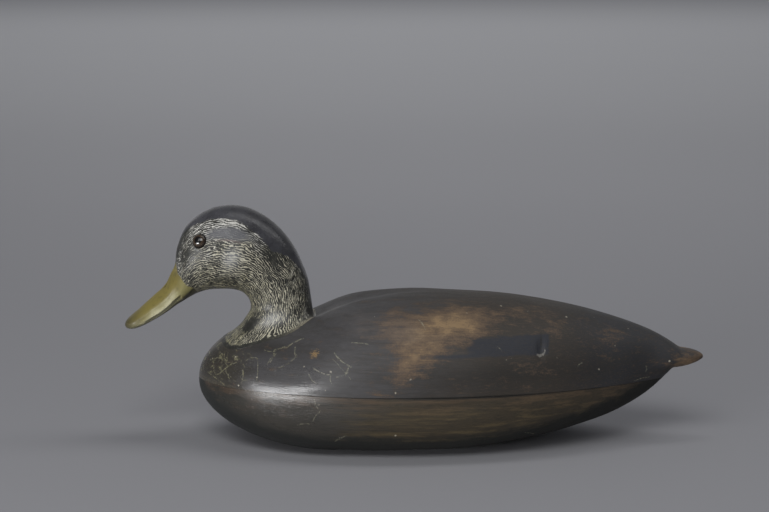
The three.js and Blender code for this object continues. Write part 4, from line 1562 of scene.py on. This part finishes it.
def upper_paint():
    """The ground, then wear, a painted sheen, the wing patch, the dent, the breast's border, marks of use and
    the joint.
    """
    material, shader, p = new_material("upper_oil_paint")
    place = p.place()
    along, _, height = p.split(place)
    streaks, fibres, mottle = p.use(wood_grain, Place=place)
    grit = p.noise(place, 0.8, 3.0, 0.7)
    worn = p.stray(p.mark("rubbed"), (mottle, 1.4), (fibres, 0.5), (streaks, 0.5), (grit, 0.6))
    painted_sheen = p.step(p.stray(p.mark("painted_sheen"), (mottle, 0.9), (fibres, 0.4)), 0.3, 0.9)
    flat = p.stretch(place, FLAT_TEARS)
    wing = p.over(WING_BLACK, p.step(fibres, 0.4, 0.7), WING_WORN)
    rim = p.step(p.stray(p.mark("dent_rim"), (p.noise(place, 0.5, 4.0, 0.7), 1.4)), 0.4, 0.8)
    line = p.use(scratch_line, Place=place)[0]
    chips = torn(p, "chip", place)
    colour = p.coats(
        upper_ground(p, along, streaks, fibres, mottle),
        (p.step(worn, 0.12, 0.5), THIN_PAINT, 0.85),
        (p.step(worn, 0.36, 0.72), WOOD_TAN),
        (p.step(worn, 0.66, 1.0), WOOD_GOLD, 0.9),
        # A pale grey painted sheen.
        (painted_sheen, PAINTED_SHEEN_PATCHES_GREY, 0.45),
        (torn(p, "wing", flat), wing, 0.95),
        (rim, DENT_GREY, 0.85),
        (p.mark("dent_crack"), JOINT_BLACK, 0.9),
        (p.times(torn(p, "under_border", flat), p.patches(place, 0.5, 0.38, 0.62)), EDGE_BROWN, 0.6),
        (breast_scribble(p, place), SCRATCH_GREEN, 0.6),
        (line, p.over(SCRATCH_PALE, p.step(along, -60.0, -120.0), SCRATCH_GREEN), 0.5),
        (torn(p, "gold", place), WOOD_GOLD, 0.5),
        (torn(p, "orange", p.stretch(place, FLAKE_TEARS)), ORANGE_WOOD, 0.7),
        (chips, CHIP_PALE, 0.6),
        (p.use(speckle, Place=place, Amount=0.0)[0], WOOD_TAN, 0.5),
        (joint_line(p, place, height), JOINT_BLACK, 0.9),
    )
    polish = p.step(along, *POLISHED_BREAST, DULL, 0.23)
    polish = p.calc("MAXIMUM", polish, p.step(height, 62.0, 84.0, 0.23, 0.46))
    gloss = p.stray(polish, (streaks, 0.2), (p.noise(place, 0.4, 4.0, 0.65), 0.2))
    gloss = p.add(gloss, p.step(worn, 0.3, 0.9), 0.12)
    relief = p.add(brushed_relief(p, place, fibres, streaks, 0.5), p.calc("MAXIMUM", line, chips), -0.7)
    finish_surface(p, shader, colour, gloss, relief, 0.12)
    return material


upper_half.data.materials.append(upper_paint())

# %% [markdown]
# The lower half is a warmer olive brown, brushed along the plank, and painted near black towards the keel as
# shade on the underside. It is greyer towards the breast, and darker round it.

# %% Paint of the lower half
LOWER_OLIVE = (0.052, 0.040, 0.024)
LOWER_GREY = (0.044, 0.040, 0.034)
BREAST_SHADE = (0.027, 0.027, 0.023)
LOWER_GOLD = (0.120, 0.088, 0.042)
LOWER_RUST = (0.092, 0.060, 0.038)
KEEL_BLACK_AND_SHADE = (0.014, 0.0155, 0.014)
SOLE_WOOD = (0.090, 0.060, 0.038)
OTHER_PLANK = (300, 0, 70)


def lower_paint():
    """Olive over grey, golden streaks and rust, painted shade near black towards the keel, marks of use, the
    rubbed sole, the joint.
    """
    material, shader, p = new_material("lower_oil_paint")
    place = p.place()
    along, _, height = p.split(place)
    streaks, fibres, mottle = p.use(wood_grain, Place=p.stretch(place, shift=OTHER_PLANK))
    front = change_along(p, along, mottle, 80.0, -10.0, -70.0)
    rust = p.step(p.stray(p.calc("MULTIPLY", height, 0.02), (streaks, 1.2)), 0.75, 1.1)
    # Painted shade: near black up from the belly line, where the underside turns away from the light.
    keel = p.step(p.stray(p.mark("over_belly"), (mottle, 14.0), (streaks, 8.0)), 24.0, 14.0)
    colour = p.coats(
        LOWER_OLIVE,
        (front, LOWER_GREY),
        (change_along(p, along, mottle, 40.0, -112.0, -150.0), BREAST_SHADE, 0.8),
        (p.times(p.step(streaks, 0.46, 0.66), p.left_by(front)), LOWER_GOLD, 0.7),
        (rust, LOWER_RUST, 0.6),
        (p.step(fibres, 0.46, 0.7), KEEL_BLACK_AND_SHADE, 0.4),
        (p.step(mottle, 0.5, 0.7), KEEL_BLACK_AND_SHADE, 0.35),
        (keel, KEEL_BLACK_AND_SHADE, 0.92),
        (p.use(scratch_line, Place=place)[0], SCRATCH_PALE, 0.42),
        (torn(p, "chip", place), CHIP_PALE, 0.7),
        (p.use(speckle, Place=place, Amount=-0.03)[0], LOWER_GOLD, 0.5),
        (p.step(p.stray(height, (fibres, 1.2)), 0.9, 0.3), SOLE_WOOD, 0.7),
        (joint_line(p, place, height), JOINT_BLACK, 0.9),
    )
    polish = p.step(along, *POLISHED_BREAST, DULL, 0.25)
    gloss = p.stray(polish, (streaks, 0.16), (p.noise(place, 0.3, 4.0), 0.12))
    relief = brushed_relief(p, place, fibres, streaks, 0.6)
    finish_surface(p, shader, colour, p.add(gloss, keel, 0.25), relief, 0.14)
    return material


lower_half.data.materials.append(lower_paint())

# %% [markdown]
# A decoy's glass eye is clear glass over a painted back. Here the button stays solid, and the paint is
# a brown iris round a black pupil, drawn by radius, under a clear coat that carries the reflections.

# %% Glass of the eyes
IRIS_BROWN = (0.070, 0.046, 0.026)
IRIS_DARK = (0.030, 0.020, 0.013)
PUPIL_BLACK = (0.004, 0.004, 0.004)
PUPIL_EDGE = (3.05, 2.55)
IRIS_EDGE = (3.9, 4.8)
GLASS = {"Roughness": 0.25, "Coat Weight": 1.0, "Coat Roughness": 0.04, "IOR": 1.3}


def eye_glass():
    """An iris of two mottled browns, darker at its edge, and a pupil, each a smooth step of the radius."""
    material, shader, p = new_material("eye_glass")
    for name, value in GLASS.items():
        shader.inputs[name].default_value = value
    flow = p.flow()
    radius = p.node("VectorMath", flow, operation="LENGTH", output=1)
    paint = p.coats(
        IRIS_BROWN,
        (p.patches(flow, 1.6, 0.35, 0.65, rough=0.5), IRIS_DARK),
        (p.step(radius, *IRIS_EDGE), IRIS_DARK),
        (p.step(radius, *PUPIL_EDGE), PUPIL_BLACK),
    )
    p.feed(shader.inputs["Base Color"], paint)
    return material


glass = eye_glass()
left_eye.data.materials.append(glass)
right_eye.data.materials.append(glass)

# %% [markdown]
# Now each piece is tied to the body it moves with, and the solid that it stands for is hidden. Nothing on
# this decoy moves, so there is only the root body.

# %% Tie the pieces to the frame
for piece, node, slot in (
    (head, "head", "head_paint"),
    (upper_half, "body_upper_half", "upper_body_paint"),
    (lower_half, "body_lower_half", "lower_body_paint"),
    (left_eye, "left_glass_eye", "eye_glass"),
    (right_eye, "right_glass_eye", "eye_glass"),
):
    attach(piece, "root")
    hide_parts(node)
    print(piece.name, "stands for", node)

# %% [markdown]
# The studio is a wide pale floor under an even sky. The floor is paler with distance, and it glows a
# little there, so that it stays as pale when the decoy is seen from other sides. It doesn't glow in a
# wedge behind the decoy, where lamps light it.

# %% Pale floor
FLOOR_NEAR = (0.395, 0.395, 0.418)
FLOOR_FAR = (0.82, 0.825, 0.85)
FLOOR_GLOW = (0.15, 0.151, 0.158)
FLOOR_RADIUS = 24.0
FLOOR_SIDES = 96
FLOOR_ROUGHNESS = 0.8
PALER_RUN = (700.0, 5000.0)
GLOW_RUN = (1200.0, 5000.0)
WEDGE = {"slope": -0.5, "edge": (0.0, 1500.0)}


def floor_paint():
    """Paler with distance, as a paper sweep that rises to the light, and aglow outside a wedge behind."""
    material, shader, p = new_material("studio_floor")
    shader.inputs["Roughness"].default_value = FLOOR_ROUGHNESS
    place = p.place()
    far = p.node("VectorMath", place, operation="LENGTH", output=1)
    aside, behind, _ = p.split(place)
    outside = p.add(p.calc("ABSOLUTE", aside), behind, WEDGE["slope"])
    glow = p.times(p.step(far, *GLOW_RUN), p.step(outside, *WEDGE["edge"]))
    p.feed(shader.inputs["Base Color"], p.over(FLOOR_NEAR, p.step(far, *PALER_RUN), FLOOR_FAR))
    p.feed(shader.inputs["Emission Color"], FLOOR_GLOW)
    p.feed(shader.inputs["Emission Strength"], glow)
    return material


def pale_floor():
    """A wide disc on the ground."""
    mesh = bpy.data.meshes.new("studio_floor")
    disc = bmesh.new()
    bmesh.ops.create_circle(disc, cap_ends=True, radius=FLOOR_RADIUS, segments=FLOOR_SIDES)
    disc.to_mesh(mesh)
    disc.free()
    mesh.materials.append(floor_paint())
    floor = bpy.data.objects.new("studio_floor", mesh)
    bpy.context.scene.collection.objects.link(floor)
    return floor


floor = pale_floor()

# %% [markdown]
# A big soft box stands above the camera. A low one at the left draws the long highlight on the breast,
# and a high one there puts the spark in the eye. A strip hangs overhead, for the crown and the back, and
# a broad dim fill behind the decoy lights its far rim but spares the floor. Lamps over the floor behind
# the decoy lift it like a paper sweep.

# %% Soft boxes and lamps
LIGHT_TARGET = Vector((-0.03, 0.0, 0.07))
SOFT_LIGHTS = {
    # azimuth, elevation, distance, width, height, radiance
    "soft_box_front": (-8, 42, 3.4, 1.7, 1.25, 5.1),
    "soft_box_low": (-44.5, 3.6, 2.2, 0.82, 0.41, 23.0),
    "soft_box_high": (-40, 36, 2.2, 0.35, 0.8, 3.0),
    "strip_above": (94, 66, 2.4, 0.5, 3.0, 2.4),
    "fill_behind": (172, 24, 3.0, 5.0, 3.0, 0.3),
}
SWEEP_LIGHTS = [
    # behind the decoy, height, width, depth, turn up from straight down, radiance
    (1.1, 1.5, 1.2, 0.8, 55, 2.3),
    (2.6, 2.2, 2.2, 1.4, 57, 1.0),
    (6.5, 4.6, 5.0, 4.0, 40, 1.0),
]


def area_lamp(name, width, height, radiance):
    """Power is radiance times area times pi, so that a lamp's brightness doesn't hang on its size."""
    lamp = bpy.data.lights.new(name, "AREA")
    lamp.shape = "RECTANGLE"
    lamp.size = width
    lamp.size_y = height
    lamp.energy = radiance * width * height * math.pi
    light = bpy.data.objects.new(name, lamp)
    light.visible_camera = False
    bpy.context.scene.collection.objects.link(light)
    print(name, "power", round(lamp.energy, 1), "W")
    return light


def soft_light(name, azimuth, elevation, distance, width, height, radiance):
    """A soft box facing the decoy: azimuth 0 is the camera's side and grows towards the tail."""
    side, up = math.radians(azimuth), math.radians(elevation)
    away = Vector((math.sin(side) * math.cos(up), -math.cos(side) * math.cos(up), math.sin(up)))
    light = area_lamp(name, width, height, radiance)
    light.location = LIGHT_TARGET + distance * away
    light.rotation_euler = away.to_track_quat("Z", "Y").to_euler()
    return light


def spare_the_floor(light, floor):
    """Links the light to everything but the floor, so that it neither brightens nor shades the sweep."""
    spared = bpy.data.collections.new("spared_floor")
    spared.objects.link(floor)
    spared.collection_objects[0].light_linking.link_state = "EXCLUDE"
    light.light_linking.receiver_collection = spared


def sweep_lights():
    """Lamps over the floor behind the decoy, turned away from it so that none of their light falls there."""
    for number, (behind, height, width, depth, turn, radiance) in enumerate(SWEEP_LIGHTS):
        tilt = math.radians(turn)
        lamp = area_lamp(f"sweep_light_{number}", width, depth, radiance)
        lamp.location = (0, behind, height)
        lamp.rotation_euler = Vector((0, -math.sin(tilt), math.cos(tilt))).to_track_quat("Z", "Y").to_euler()


lights = {name: soft_light(name, *values) for name, values in SOFT_LIGHTS.items()}
spare_the_floor(lights["fill_behind"], floor)
sweep_lights()

# %% [markdown]
# The sky fills the shadows. It is dim at the horizon, brighter overhead, and paler behind the decoy, as
# a lit paper sweep is. The camera sees it as one plain tone.

# %% Sky
SKY_LOW = (0.045, 0.046, 0.050)
SKY_HIGH = (0.105, 0.108, 0.118)
SWEEP_GLOW = (0.12, 0.122, 0.129)
SWEEP_GLOW_RUN = (0.35, 0.8)
SKY_SEEN = (0.21, 0.212, 0.222)


def studio_sky():
    """A soft sky: dim at the horizon, brighter overhead, pale behind. Seen directly it is one plain tone."""
    world = bpy.data.worlds.new("studio_sky")
    world.use_nodes = True
    p = Recipe(world.node_tree)
    _, away, height = p.split(p.node("TexCoord", output=0))
    sky = p.coats(
        SKY_LOW,
        (p.step(height, 0.0, 1.0), SKY_HIGH),
        (p.step(away, *SWEEP_GLOW_RUN), SWEEP_GLOW),
        (p.node("LightPath"), SKY_SEEN),
    )
    p.feed(world.node_tree.nodes["Background"].inputs["Color"], sky)
    return world


bpy.context.scene.world = studio_sky()
bpy.context.scene.view_settings.view_transform = "Standard"
